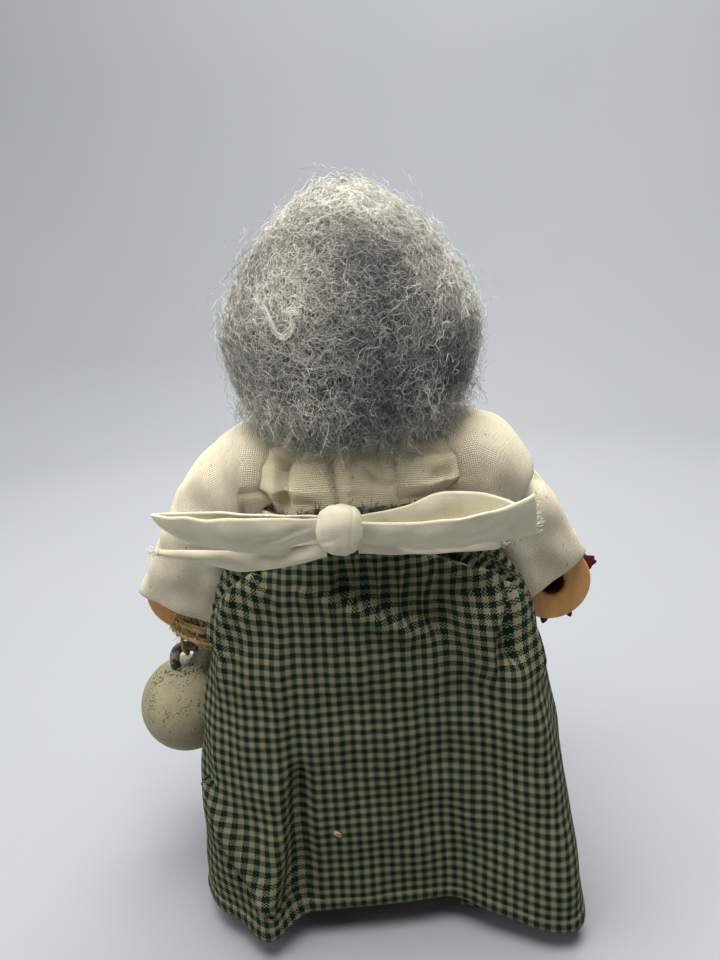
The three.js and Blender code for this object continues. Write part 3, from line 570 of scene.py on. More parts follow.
class NodeBoard:
    """Adds nodes to a shader tree and joins them."""

    def __init__(self, tree: bpy.types.NodeTree) -> None:
        """Starts on a tree."""
        self.tree = tree

    def add(self, kind: str, feeds: Union[dict, None] = None, **settings: object) -> bpy.types.Node:
        """Adds a node.

        Args:
            kind: Blender's type of the node.
            feeds: Values or sockets for its inputs, by name or number.
            **settings: Values of the node's properties.

        Returns:
            The node.
        """
        node = self.tree.nodes.new(kind)
        for name, value in settings.items():
            setattr(node, name, value)
        for key, value in (feeds or {}).items():
            self.feed(node.inputs[key], value)
        return node

    def feed(self, socket: Socket, value: Feed) -> None:
        """Links a socket to another, or sets its value."""
        if isinstance(value, Socket):
            self.tree.links.new(value, socket)
        else:
            socket.default_value = value

    def math(self, operation: str, *values: Feed) -> Socket:
        """The value of a Math node."""
        return self.add("ShaderNodeMath", dict(enumerate(values)), operation=operation).outputs[0]

    def vector(self, operation: str, first: Feed, second: Feed) -> bpy.types.bpy_prop_collection:
        """The outputs of a Vector Math node."""
        return self.add("ShaderNodeVectorMath", {0: first, 1: second}, operation=operation).outputs

    def mix(self, share: Feed, first: Feed, second: Feed, blend: str = "MIX") -> Socket:
        """Two colours mixed by the share of the second."""
        feeds = {0: share, 6: first, 7: second}
        node = self.add("ShaderNodeMix", feeds, data_type="RGBA", blend_type=blend, clamp_factor=True)
        return node.outputs[2]

    def span(self, value: Feed, low: float, high: float, start: float = 0.0,
             end: float = 1.0) -> Socket:
        """Maps low to high onto start to end, held at the ends."""
        feeds = dict(enumerate((value, low, high, start, end)))
        return self.add("ShaderNodeMapRange", feeds, clamp=True).outputs[0]

    def noise(self, vector: Feed, scale: Feed, detail: float = 2.0,
              rough: float = 0.5) -> Socket:
        """Noise with scale waves in a metre, about 0.5 in the middle."""
        feeds = {"Vector": vector, "Scale": scale, "Detail": detail, "Roughness": rough}
        return self.add("ShaderNodeTexNoise", feeds).outputs["Fac"]

    def chance(self, value: Feed) -> Socket:
        """A random value from 0 to 1 for each number."""
        return self.add("ShaderNodeTexWhiteNoise", {"W": value}, noise_dimensions="1D").outputs["Value"]

    def stretch(self, vector: Feed, scale: Sequence[float]) -> Socket:
        """Scales a vector by its axes."""
        return self.add("ShaderNodeMapping", {"Vector": vector, "Scale": scale}).outputs["Vector"]

    def axes(self, vector: Feed) -> tuple[Socket, ...]:
        """Splits a vector into its three values."""
        return tuple(self.add("ShaderNodeSeparateXYZ", {0: vector}).outputs)

    def joined(self, *values: Feed) -> Socket:
        """Joins values to a vector."""
        return self.add("ShaderNodeCombineXYZ", dict(enumerate(values))).outputs[0]

    def distance(self, vector: Feed, place: Sequence[float]) -> Socket:
        """Distance of the surface from a place."""
        return self.vector("DISTANCE", vector, place)["Value"]

    def coordinates(self, name: str) -> Socket:
        """UV or Object coordinates."""
        return self.add("ShaderNodeTexCoord").outputs[name]

    def attribute(self, name: str) -> Socket:
        """The value of a mesh attribute."""
        return self.add("ShaderNodeAttribute", attribute_name=name).outputs["Fac"]

    def group(self, tree: bpy.types.NodeTree, **values: Feed) -> bpy.types.bpy_prop_collection:
        """Places a node group and gives its outputs."""
        return self.add("ShaderNodeGroup", values, node_tree=tree).outputs

    def coat(self, colour: Feed, rough: Feed, sheen: float = 0.0, relief: tuple = ()) -> None:
        """Feeds the material's Principled shader.

        Args:
            colour: Base colour.
            rough: Roughness.
            sheen: Weight of the sheen.
            relief: Height from 0 to 1, its real depth in metres and its strength, or nothing.
        """
        inputs = self.tree.nodes["Principled BSDF"].inputs
        self.feed(inputs["Base Color"], colour)
        self.feed(inputs["Roughness"], rough)
        inputs["Sheen Weight"].default_value = sheen
        if relief:
            feeds = dict(zip(("Height", "Distance", "Strength"), relief))
            self.feed(inputs["Normal"], self.add("ShaderNodeBump", feeds).outputs["Normal"])


class Effects:
    """Node groups that more than one finish uses, each built once."""

    @staticmethod
    def built(name: str, inputs: Sequence[str], outputs: Sequence[str],
              wire: Callable) -> bpy.types.NodeTree:
        """Gives a node group, built on the first call.

        Args:
            name: Name of the group.
            inputs: Names of its inputs, of which Vector is a vector.
            outputs: Names of its outputs.
            wire: Takes a board and the inputs, and returns the outputs.

        Returns:
            The group.
        """
        if name in bpy.data.node_groups:
            return bpy.data.node_groups[name]
        tree = bpy.data.node_groups.new(name, "ShaderNodeTree")
        for way, titles in (("INPUT", inputs), ("OUTPUT", outputs)):
            for title in titles:
                kind = "NodeSocketVector" if title == "Vector" else "NodeSocketFloat"
                tree.interface.new_socket(title, in_out=way, socket_type=kind)
        board = NodeBoard(tree)
        given = board.add("NodeGroupInput").outputs
        values = wire(board, *(given[title] for title in inputs))
        board.add("NodeGroupOutput", dict(zip(outputs, values)))
        return tree

    @classmethod
    def weave(cls) -> bpy.types.NodeTree:
        """Plain weave, one thread over and one under, with each thread's own tone.

        Returns:
            The group.
        """
        def wire(board: NodeBoard, place: Feed, warp: Feed, weft: Feed) -> tuple[Feed, ...]:
            """Wires the threads' height, whether the warp is on top, and their tone."""
            slip = board.math("MULTIPLY_ADD", board.noise(place, 260.0), 0.4, -0.2)
            crowns, counts = [], []
            for value, density in zip(board.axes(place), (warp, weft)):
                thread = board.math("ADD", board.math("MULTIPLY", value, density), slip)
                counts.append(board.math("FLOOR", thread))
                turn = board.math("MULTIPLY", board.math("FRACT", thread), math.pi)
                crowns.append(board.math("SINE", turn))
            over = board.math("FLOORED_MODULO", board.math("ADD", *counts), 2.0)
            under = board.math("SUBTRACT", 1.0, over)
            high = [board.math("MULTIPLY", crown, board.math("MULTIPLY_ADD", other, 0.5, 0.5))
                    for crown, other in (crowns, crowns[::-1])]
            tones = [board.chance(count) for count in counts]
            height, tone = (board.math("MULTIPLY_ADD", pair[0], over, board.math("MULTIPLY", pair[1], under))
                            for pair in (high, tones))
            return height, over, tone

        return cls.built("plain_weave", ("Vector", "Warp", "Weft"), ("Height", "Warp on top", "Tone"), wire)

    @classmethod
    def flecks(cls) -> bpy.types.NodeTree:
        """A mask of small spots strewn at random.

        Returns:
            The group.
        """
        def wire(board: NodeBoard, place: Feed, scale: Feed, size: Feed, share: Feed) -> tuple[Feed, ...]:
            """Wires the mask."""
            cells = board.add("ShaderNodeTexVoronoi", {"Vector": place, "Scale": scale}).outputs
            draw, bulk, _ = board.axes(cells["Color"])
            reach = board.math("MULTIPLY", size, board.math("MULTIPLY_ADD", bulk, 0.7, 0.4))
            inside = board.math("LESS_THAN", cells["Distance"], reach)
            return (board.math("MULTIPLY", board.math("LESS_THAN", draw, share), inside),)

        return cls.built("flecks", ("Vector", "Scale", "Size", "Share"), ("Mask",), wire)

    @classmethod
    def grain(cls) -> bpy.types.NodeTree:
        """Wood grain along the Z axis, with fine pores.

        Returns:
            The group.
        """
        def wire(board: NodeBoard, place: Feed, scale: Feed) -> tuple[Feed, ...]:
            """Wires the grain's tone and the pores' depth."""
            long = board.stretch(place, (1.0, 1.0, 0.14))
            fine = board.noise(long, board.math("MULTIPLY", scale, 9.0))
            return board.span(board.noise(long, scale, 4.0, 0.6), 0.3, 0.7), board.span(fine, 0.35, 0.65)

        return cls.built("wood_grain", ("Vector", "Scale"), ("Tone", "Pores"), wire)


class Finish:
    """A material under its own name, built once when it is first asked for."""

    name: str

    GLOSS = 0.1

    def material(self) -> bpy.types.Material:
        """Gives the finish's material.

        Returns:
            The material, made on the first call.
        """
        made = bpy.data.materials.get(self.name)
        if made:
            return made
        made = bpy.data.materials.new(self.name)
        made.use_nodes = True
        shader = made.node_tree.nodes["Principled BSDF"]
        shader.inputs["Specular IOR Level"].default_value = self.GLOSS
        self.dress(NodeBoard(made.node_tree))
        return made

    def dress(self, board: NodeBoard) -> None:
        """Feeds the shader through a board of the material's nodes."""
        raise NotImplementedError


@dataclass(frozen=True)
class Muslin(Finish):
    """Coarse unbleached cotton with visible rows of weft and seed flecks."""

    name: str = "blouse_weave"
    cloth: Colour = paint(252, 243, 212)
    shade_and_soil: Colour = paint(192, 166, 116)
    fleck: Colour = paint(96, 70, 46)
    warp: float = 1900.0
    weft: float = 1560.0
    sheen: float = 0.12

    def dress(self, board: NodeBoard) -> None:
        """Rows of thread with painted shade between them, uneven in tone, with flecks.

        Args:
            board: Board of the material's nodes.
        """
        flat = board.coordinates("UV")
        weave = board.group(Effects.weave(), Vector=flat, Warp=self.warp, Weft=self.weft)
        flecks = board.group(Effects.flecks(), Vector=flat, Scale=560.0, Size=0.22, Share=0.05)
        # Painted shade: the low parts of the weave take the darker colour, which also gives the threads'
        # uneven tone and the soiled clouds.
        colour = board.mix(board.span(weave["Height"], 0.02, 0.5), self.shade_and_soil, self.cloth)
        colour = board.mix(board.span(weave["Tone"], 0.0, 1.0, 0.0, 0.2), colour, self.shade_and_soil)
        cloud = board.span(board.noise(flat, 120.0, 4.0, 0.6), 0.42, 0.8, 0.0, 0.22)
        colour = board.mix(cloud, colour, self.shade_and_soil)
        colour = board.mix(board.math("MULTIPLY", flecks["Mask"], 0.65), colour, self.fleck)
        board.coat(colour, 0.93, self.sheen, (weave["Height"], 0.3 * MM, 0.9))


@dataclass(frozen=True)
class Check(Finish):
    """Homespun check woven from equal bands of dark green and tan thread."""

    name: str = "woven_check"
    green: Colour = paint(2, 38, 30)
    tan: Colour = paint(132, 126, 97)
    pitch: float = 3.175 * MM
    threads: int = 8
    dark_share: float = 0.5
    mixed_cell_shade: float = 0.3
    shift: tuple[float, float] = (0.4 * MM, 0.9 * MM)

    def dress(self, board: NodeBoard) -> None:
        """Each thread takes its band's colour and the upper thread of a crossing shows, with painted shade
        in mixed cells and in the low parts of the weave.

        Args:
            board: Board of the material's nodes.
        """
        across, along, _ = board.axes(board.coordinates("UV"))
        waver = board.noise(board.coordinates("UV"), 45.0, 1.0)
        slip = board.math("MULTIPLY_ADD", waver, 0.9 * MM, -0.45 * MM)
        place = board.joined(board.math("ADD", across, board.math("ADD", slip, self.shift[0])),
                             board.math("SUBTRACT", along, board.math("ADD", slip, self.shift[1])))
        density = self.threads / self.pitch
        weave = board.group(Effects.weave(), Vector=place, Warp=density, Weft=density)
        bands = []
        for value in board.axes(place)[:2]:
            share = board.math("FRACT", board.math("DIVIDE", value, self.pitch))
            bands.append(board.math("LESS_THAN", share, self.dark_share))
        over = weave["Warp on top"]
        under = board.math("SUBTRACT", 1.0, over)
        dark = board.math("MULTIPLY_ADD", bands[0], over, board.math("MULTIPLY", bands[1], under))
        # Painted shade: cells where a dark and a tan band cross are darkened towards green, standing in for
        # the threads' shadows.
        mixed = board.math("ABSOLUTE", board.math("SUBTRACT", *bands))
        dark = board.math("MAXIMUM", dark, board.math("MULTIPLY", mixed, self.mixed_cell_shade))
        # Painted shade: the low parts of the weave are darkened; the thread tone itself varies at random.
        tone = board.math("MULTIPLY", board.span(weave["Tone"], 0.0, 1.0, 0.72, 1.12),
                          board.span(weave["Height"], 0.0, 0.55, 0.6, 1.0))
        colour = board.mix(dark, self.tan, self.green)
        colour = board.mix(1.0, colour, board.joined(tone, tone, tone), "MULTIPLY")
        board.coat(colour, 0.95, relief=(weave["Height"], 0.16 * MM, 0.6))


@dataclass(frozen=True)
class SmoothCotton(Finish):
    """Smooth, closely woven cotton tape."""

    name: str = "bow_tape"
    cloth: Colour = paint(216, 209, 186)
    shade: Colour = paint(182, 168, 134)
    threads: float = 2900.0

    def dress(self, board: NodeBoard) -> None:
        """A fine weave with painted shade between its threads, showing as a soft grain, with faint clouds.

        Args:
            board: Board of the material's nodes.
        """
        flat = board.coordinates("UV")
        weave = board.group(Effects.weave(), Vector=flat, Warp=self.threads, Weft=self.threads)
        # Painted shade: the low parts of the weave take the darker colour; the clouds use it as uneven tone.
        colour = board.mix(board.span(weave["Height"], 0.0, 0.4), self.shade, self.cloth)
        cloud = board.span(board.noise(flat, 150.0, 4.0, 0.6), 0.45, 0.85, 0.0, 0.35)
        board.coat(board.mix(cloud, colour, self.shade), 0.85, 0.15, (weave["Height"], 0.08 * MM, 0.5))


@dataclass(frozen=True)
class Wool(Finish):
    """Curly wool: strands from dark slate to near white, by each strand's own tone."""

    name: str = "wool_strand"
    dark: Colour = paint(88, 89, 90)
    middle: Colour = paint(182, 181, 172)
    pale: Colour = paint(252, 249, 238)

    def dress(self, board: NodeBoard) -> None:
        """Colours a strand by its tone, with a slight shift along it.

        Args:
            board: Board of the material's nodes.
        """
        drift = board.span(board.noise(board.coordinates("Object"), 330.0, 3.0), 0.3, 0.7, -0.14, 0.14)
        tone = board.math("ADD", board.attribute(TONE), drift)
        low = board.mix(board.span(tone, 0.0, 0.5), self.dark, self.middle)
        board.coat(board.mix(board.span(tone, 0.5, 1.0), low, self.pale), 0.62, 0.2)


@dataclass(frozen=True)
class WoolGround(Finish):
    """Matted wool under the loose strands."""

    name: str = "wool_ground"
    dark: Colour = paint(80, 80, 80)
    pale: Colour = paint(152, 151, 143)

    def dress(self, board: NodeBoard) -> None:
        """Matted fibres of two greys with deep relief.

        Args:
            board: Board of the material's nodes.
        """
        place = board.coordinates("Object")
        mat = board.noise(place, 900.0, 5.0, 0.7)
        clumps = board.span(board.noise(place, 140.0, 3.0, 0.6), 0.3, 0.7, 0.4, 1.0)
        share = board.math("MULTIPLY", board.span(mat, 0.35, 0.65), clumps)
        board.coat(board.mix(share, self.dark, self.pale), 0.9, 0.2, (mat, 0.8 * MM, 0.9))


@dataclass(frozen=True)
class Fibre(Finish):
    """Loose threads and jute yarn, by each strand's own tone."""

    name: str = "jute_fibre"
    dark: Colour = paint(112, 84, 50)
    pale: Colour = paint(203, 172, 120)

    def dress(self, board: NodeBoard) -> None:
        """Colours a strand by its tone and fine hairs along it.

        Args:
            board: Board of the material's nodes.
        """
        hairs = board.noise(board.coordinates("Object"), 2400.0, 3.0, 0.6)
        tone = board.math("ADD", board.attribute(TONE), board.span(hairs, 0.3, 0.7, -0.22, 0.22))
        board.coat(board.mix(board.span(tone, 0.0, 1.0), self.dark, self.pale), 0.85, 0.1,
                   (hairs, 0.15 * MM, 0.6))


@dataclass(frozen=True)
class BareWood(Finish):
    """Bare turned wood, pale and a little dusty."""

    name: str = "bare_wood"
    pale: Colour = paint(205, 170, 122)
    dark: Colour = paint(152, 112, 70)

    GLOSS = 0.4

    def dress(self, board: NodeBoard) -> None:
        """Grain along the piece with open pores.

        Args:
            board: Board of the material's nodes.
        """
        grain = board.group(Effects.grain(), Vector=board.coordinates("Object"), Scale=170.0)
        colour = board.mix(grain["Tone"], self.pale, self.dark)
        colour = board.mix(board.math("MULTIPLY", grain["Pores"], 0.25), colour, self.dark)
        board.coat(colour, board.span(grain["Pores"], 0.0, 1.0, 0.55, 0.75),
                   relief=(grain["Pores"], 0.06 * MM, 0.4))


@dataclass(frozen=True)
class HandWood(Finish):
    """Wood painted flesh tan, rubbed through at the edges of its drilled hole."""

    name: str
    hole: Point
    coat: Colour = paint(216, 160, 94)
    worn: Colour = paint(172, 116, 60)
    bare: Colour = paint(84, 46, 30)

    GLOSS = 0.4

    def dress(self, board: NodeBoard) -> None:
        """Satin paint over grain, bare wood with painted shade in the bore, and rubbed round its rim.

        Args:
            board: Board of the material's nodes.
        """
        place = board.coordinates("Object")
        grain = board.group(Effects.grain(), Vector=place, Scale=210.0)
        reach = board.distance(board.stretch(place, (1.0, 0.0, 1.0)), (self.hole[0], 0.0, self.hole[2]))
        uneven = board.math("MULTIPLY_ADD", board.noise(place, 900.0, 3.0, 0.6), 2.2 * MM, -1.1 * MM)
        rubbed = board.span(board.math("ADD", reach, uneven), (HAND_HOLE + 0.2) * MM,
                            (HAND_HOLE + 1.5) * MM, 0.85, 0.0)
        # The bore takes bare wood darkened with painted shade.
        bore = board.span(reach, (HAND_HOLE - 0.1) * MM, (HAND_HOLE + 0.25) * MM, 1.0, 0.0)
        colour = board.mix(board.math("MULTIPLY", grain["Tone"], 0.45), self.coat, self.worn)
        colour = board.mix(board.math("MULTIPLY", grain["Pores"], 0.16), colour, self.worn)
        colour = board.mix(bore, board.mix(rubbed, colour, self.worn), self.bare)
        board.coat(colour, board.span(grain["Pores"], 0.0, 1.0, 0.42, 0.62),
                   relief=(grain["Pores"], 0.05 * MM, 0.35))


@dataclass(frozen=True)
class FacePaint(Finish):
    """Painted wooden head with plain dot eyes and soft round cheeks."""

    centre: Point
    name: str = "face_paint"
    coat: Colour = paint(200, 158, 112)
    worn: Colour = paint(164, 116, 70)
    eye: Colour = paint(34, 28, 26)
    blush: Colour = paint(196, 116, 92)
    eye_apart: float = 7.0 * MM
    eye_height: float = 1.5 * MM
    eye_size: float = 1.5 * MM
    cheek_apart: float = 11.0 * MM
    cheek_height: float = -6.5 * MM
    cheek_size: float = 4.4 * MM

    def spot(self, across: float, height: float) -> Point:
        """A place on the front of the ball."""
        depth = math.sqrt((HEAD_RADIUS * MM) ** 2 - across ** 2 - height ** 2)
        return (self.centre[0] + across, self.centre[1] - depth, self.centre[2] + height)

    def dress(self, board: NodeBoard) -> None:
        """Grain under thin paint, two eyes and two cheeks.

        Args:
            board: Board of the material's nodes.
        """
        place = board.coordinates("Object")
        grain = board.group(Effects.grain(), Vector=place, Scale=150.0)
        colour = board.mix(board.math("MULTIPLY", grain["Tone"], 0.4), self.coat, self.worn)
        for side in Side:
            cheek = board.distance(place, self.spot(side.value * self.cheek_apart, self.cheek_height))
            colour = board.mix(board.span(cheek, 0.0, self.cheek_size, 0.6, 0.0), colour, self.blush)
        for side in Side:
            eye = board.distance(place, self.spot(side.value * self.eye_apart, self.eye_height))
            mask = board.span(eye, self.eye_size, self.eye_size + 0.2 * MM, 1.0, 0.0)
            colour = board.mix(mask, colour, self.eye)
        board.coat(colour, board.span(grain["Pores"], 0.0, 1.0, 0.4, 0.58),
                   relief=(grain["Pores"], 0.05 * MM, 0.3))


@dataclass(frozen=True)
class Stoneware(Finish):
    """Matt beige stoneware, spattered with dark blue glaze over its shoulder, neck and ear."""

    name: str
    centre: Point
    up: Point
    blotched: float
    clay: Colour = paint(148, 141, 113)
    shade: Colour = paint(130, 121, 88)
    glaze: Colour = paint(24, 28, 46)

    GLOSS = 0.35

    def dress(self, board: NodeBoard) -> None:
        """Cloudy clay with specks that thicken towards the neck.

        Args:
            board: Board of the material's nodes.
        """
        place = board.coordinates("Object")
        offset = board.vector("SUBTRACT", place, self.centre)[0]
        height = board.vector("DOT_PRODUCT", offset, self.up)["Value"]
        upper = board.span(height, -14.0 * MM, 6.0 * MM, 0.3, 1.0)
        cloud = board.span(board.noise(place, 190.0, 4.0, 0.6), 0.35, 0.7)
        colour = board.mix(board.math("MULTIPLY", cloud, 0.6), self.clay, self.shade)
        showers = board.span(board.noise(place, 130.0), 0.38, 0.62)
        density = board.math("MULTIPLY", upper, showers)
        spray = board.noise(board.stretch(place, (1.0, 1.0, 1.5)), 1150.0, 3.0, 0.6)
        limit = board.math("MULTIPLY_ADD", density, -0.14, 0.66)
        specks = board.span(board.math("SUBTRACT", spray, limit), 0.0, 0.03)
        dips = board.math("ADD", board.noise(place, 300.0, 3.0, 0.6), self.blotched)
        stain = board.math("MAXIMUM", specks, board.span(dips, 0.68, 0.72))
        colour = board.mix(board.math("MULTIPLY", stain, 0.9), colour, self.glaze)
        board.coat(colour, board.span(stain, 0.0, 1.0, 0.62, 0.36),
                   relief=(board.noise(place, 1500.0, 3.0), 0.1 * MM, 0.35))


@dataclass(frozen=True)
class PrintedCotton(Finish):
    """Dark red cotton with a small plain dot."""

    name: str = "dotted_cotton"
    cloth: Colour = paint(88, 24, 34)
    dot: Colour = paint(168, 120, 112)
    # Painted shade between the threads.
    thread: Colour = paint(58, 14, 22)

    def dress(self, board: NodeBoard) -> None:
        """A fine weave with painted shade between its threads, and strewn dots.

        Args:
            board: Board of the material's nodes.
        """
        flat = board.coordinates("UV")
        weave = board.group(Effects.weave(), Vector=flat, Warp=2600.0, Weft=2600.0)
        dots = board.group(Effects.flecks(), Vector=flat, Scale=420.0, Size=0.26, Share=0.5)
        # Painted shade: the low parts of the weave take the darker colour.
        colour = board.mix(board.span(weave["Height"], 0.0, 0.5), self.thread, self.cloth)
        colour = board.mix(board.math("MULTIPLY", dots["Mask"], 0.7), colour, self.dot)
        board.coat(colour, 0.88, 0.1, (weave["Height"], 0.08 * MM, 0.5))


@dataclass(frozen=True)
class Wadding(Finish):
    """White cotton wadding."""

    name: str = "wadding"
    pale: Colour = paint(228, 224, 214)
    shade: Colour = paint(186, 180, 168)

    def dress(self, board: NodeBoard) -> None:
        """Soft clumps of fibre."""
        fluff = board.noise(board.coordinates("Object"), 420.0, 5.0, 0.7)
        colour = board.mix(board.span(fluff, 0.35, 0.65), self.shade, self.pale)
        board.coat(colour, 0.95, relief=(fluff, 0.8 * MM, 0.8))


@dataclass(frozen=True)
class Backdrop(Finish):
    """Pale paper under and round the doll."""

    name: str = "pale_paper"
    paper: Colour = paint(152, 155, 159)
    shade: Colour = paint(146, 150, 154)

    def dress(self, board: NodeBoard) -> None:
        """Almost even paper."""
        cloud = board.noise(board.coordinates("Object"), 3.0)
        board.coat(board.mix(cloud, self.paper, self.shade), 0.9)


@dataclass
class Studio:
    """Camera, lights and the paper sweep."""

    camera_place: Point = (0.0, 221.0 * MM, 197.0 * MM)
    pitch: float = math.radians(15.0)
    roll: float = math.radians(3.5)
    focal_pixels: float = 721.0
    image_height: float = 960.0
    sensor: float = 36.0
    floor_radius: float = 0.75
    sweep_radius: float = 0.6
    wall_height: float = 1.5
    sweep_steps: int = 96
    air_colour: Colour = (0.95, 0.975, 1.0, 1.0)
    air_strength: float = 0.05
    nearest: float = 0.01
    doll: Point = (0.0, 0.0, 0.11)

    def build(self) -> None:
        """Sets up everything that isn't the doll."""
        self.add_camera()
        self.add_paper()
        self.add_light("top", (0.03, 0.1, 0.95), self.doll, 0.7, 16.2, (1.0, 0.985, 0.95))
        self.add_light("left", (0.8, 0.2, 0.5), self.doll, 0.5, 2.6, (1.0, 0.99, 0.97))
        self.add_light("right", (-0.75, 0.1, 0.55), self.doll, 0.5, 0.45, (0.97, 0.985, 1.0))
        self.add_light("front", (0.2, -0.75, 0.6), self.doll, 0.7, 1.6, (1.0, 0.99, 0.97))
        self.add_light("wall", (-0.15, -0.45, 1.1), (-0.15, -1.2, 0.45), 0.6, 15.0, (1.0, 0.99, 0.97))
        world = bpy.data.worlds.new("studio_air")
        world.use_nodes = True
        air = world.node_tree.nodes["Background"]
        air.inputs["Color"].default_value = self.air_colour
        air.inputs["Strength"].default_value = self.air_strength
        bpy.context.scene.world = world
        bpy.context.scene.view_settings.view_transform = "Standard"

    def add_camera(self) -> None:
        """Puts the camera where the photograph was taken."""
        ahead = Vector((0.0, -math.cos(self.pitch), -math.sin(self.pitch)))
        level = Vector((-1.0, 0.0, 0.0))
        plumb = level.cross(ahead)
        right = level * math.cos(self.roll) - plumb * math.sin(self.roll)
        top = right.cross(ahead)
        data = bpy.data.cameras.new("camera")
        data.sensor_fit = "AUTO"
        data.sensor_width = self.sensor
        data.lens = self.focal_pixels / self.image_height * self.sensor
        data.clip_start = self.nearest
        camera = bpy.data.objects.new("camera", data)
        turn = Matrix((right, top, -ahead)).transposed().to_4x4()
        camera.matrix_world = Matrix.Translation(self.camera_place) @ turn
        bpy.context.scene.collection.objects.link(camera)
        bpy.context.scene.camera = camera

    def add_paper(self) -> None:
        """Lays the floor and curves it up all round."""
        arc = [(self.floor_radius + self.sweep_radius * math.sin(angle),
                self.sweep_radius * (1.0 - math.cos(angle)))
               for angle in np.linspace(0.0, math.pi / 2, 14)]
        profile = [(0.0, 0.0), (self.floor_radius / 2, 0.0), *arc, (arc[-1][0], self.wall_height)]
        paper = Workshop.turned("paper_floor", profile, self.sweep_steps)
        paper.data.flip_normals()
        Workshop.dress(paper, Backdrop().material())

    @staticmethod
    def add_light(name: str, place: Point, target: Point, size: float, power: float, colour: Point) -> None:
        """Adds a soft box.

        Args:
            name: Name of the light.
            place: Its place in metres.
            target: The point that it faces.
            size: Side of its square face.
            power: Its power in watts.
            colour: Its colour.
        """
        data = bpy.data.lights.new(name, "AREA")
        data.shape = "SQUARE"
        data.size = size
        data.energy = power
        data.color = colour
        light = bpy.data.objects.new(name, data)
        aim = Vector(target) - Vector(place)
        light.matrix_world = Matrix.Translation(place) @ aim.to_track_quat("-Z", "Y").to_matrix().to_4x4()
        bpy.context.scene.collection.objects.link(light)


@dataclass
class WoodenFrame:
    """Turned wood: base, post, rods and the painted head."""

    bare_nodes: tuple[str, ...] = ("base_disc", "body_post", "shoulder_rod", "neck_dowel",
                                   "arm_stick_left", "arm_stick_right")
    profile_steps: int = 40
    turn_steps: int = 80

    def build(self, nodes: dict[str, Piece]) -> None:
        """Dresses the hidden wood and turns the head.

        Args:
            nodes: CAD objects by node name.
        """
        for name in self.bare_nodes:
            Workshop.dress(nodes[name], BareWood().material())
        size = HEAD_RADIUS * MM
        low, high = (Vector(corner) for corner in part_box("head_ball"))
        centre = Vector(((low.x + high.x) / 2, (low.y + high.y) / 2, high.z - size))
        foot = low.z - centre.z
        angles = np.linspace(math.asin(foot / size), math.pi / 2, self.profile_steps)
        ball = [(size * math.cos(angle), size * math.sin(angle)) for angle in angles]
        head = Workshop.turned("head", [(0.0, foot), *ball[:-1], (0.0, size)], self.turn_steps)
        Workshop.place(head, Matrix.Translation(centre))
        paint_coat = FacePaint(tuple(centre)).material()
        Workshop.finish(head, "painted_wood", Body.HEAD, paint_coat, node="head_ball")


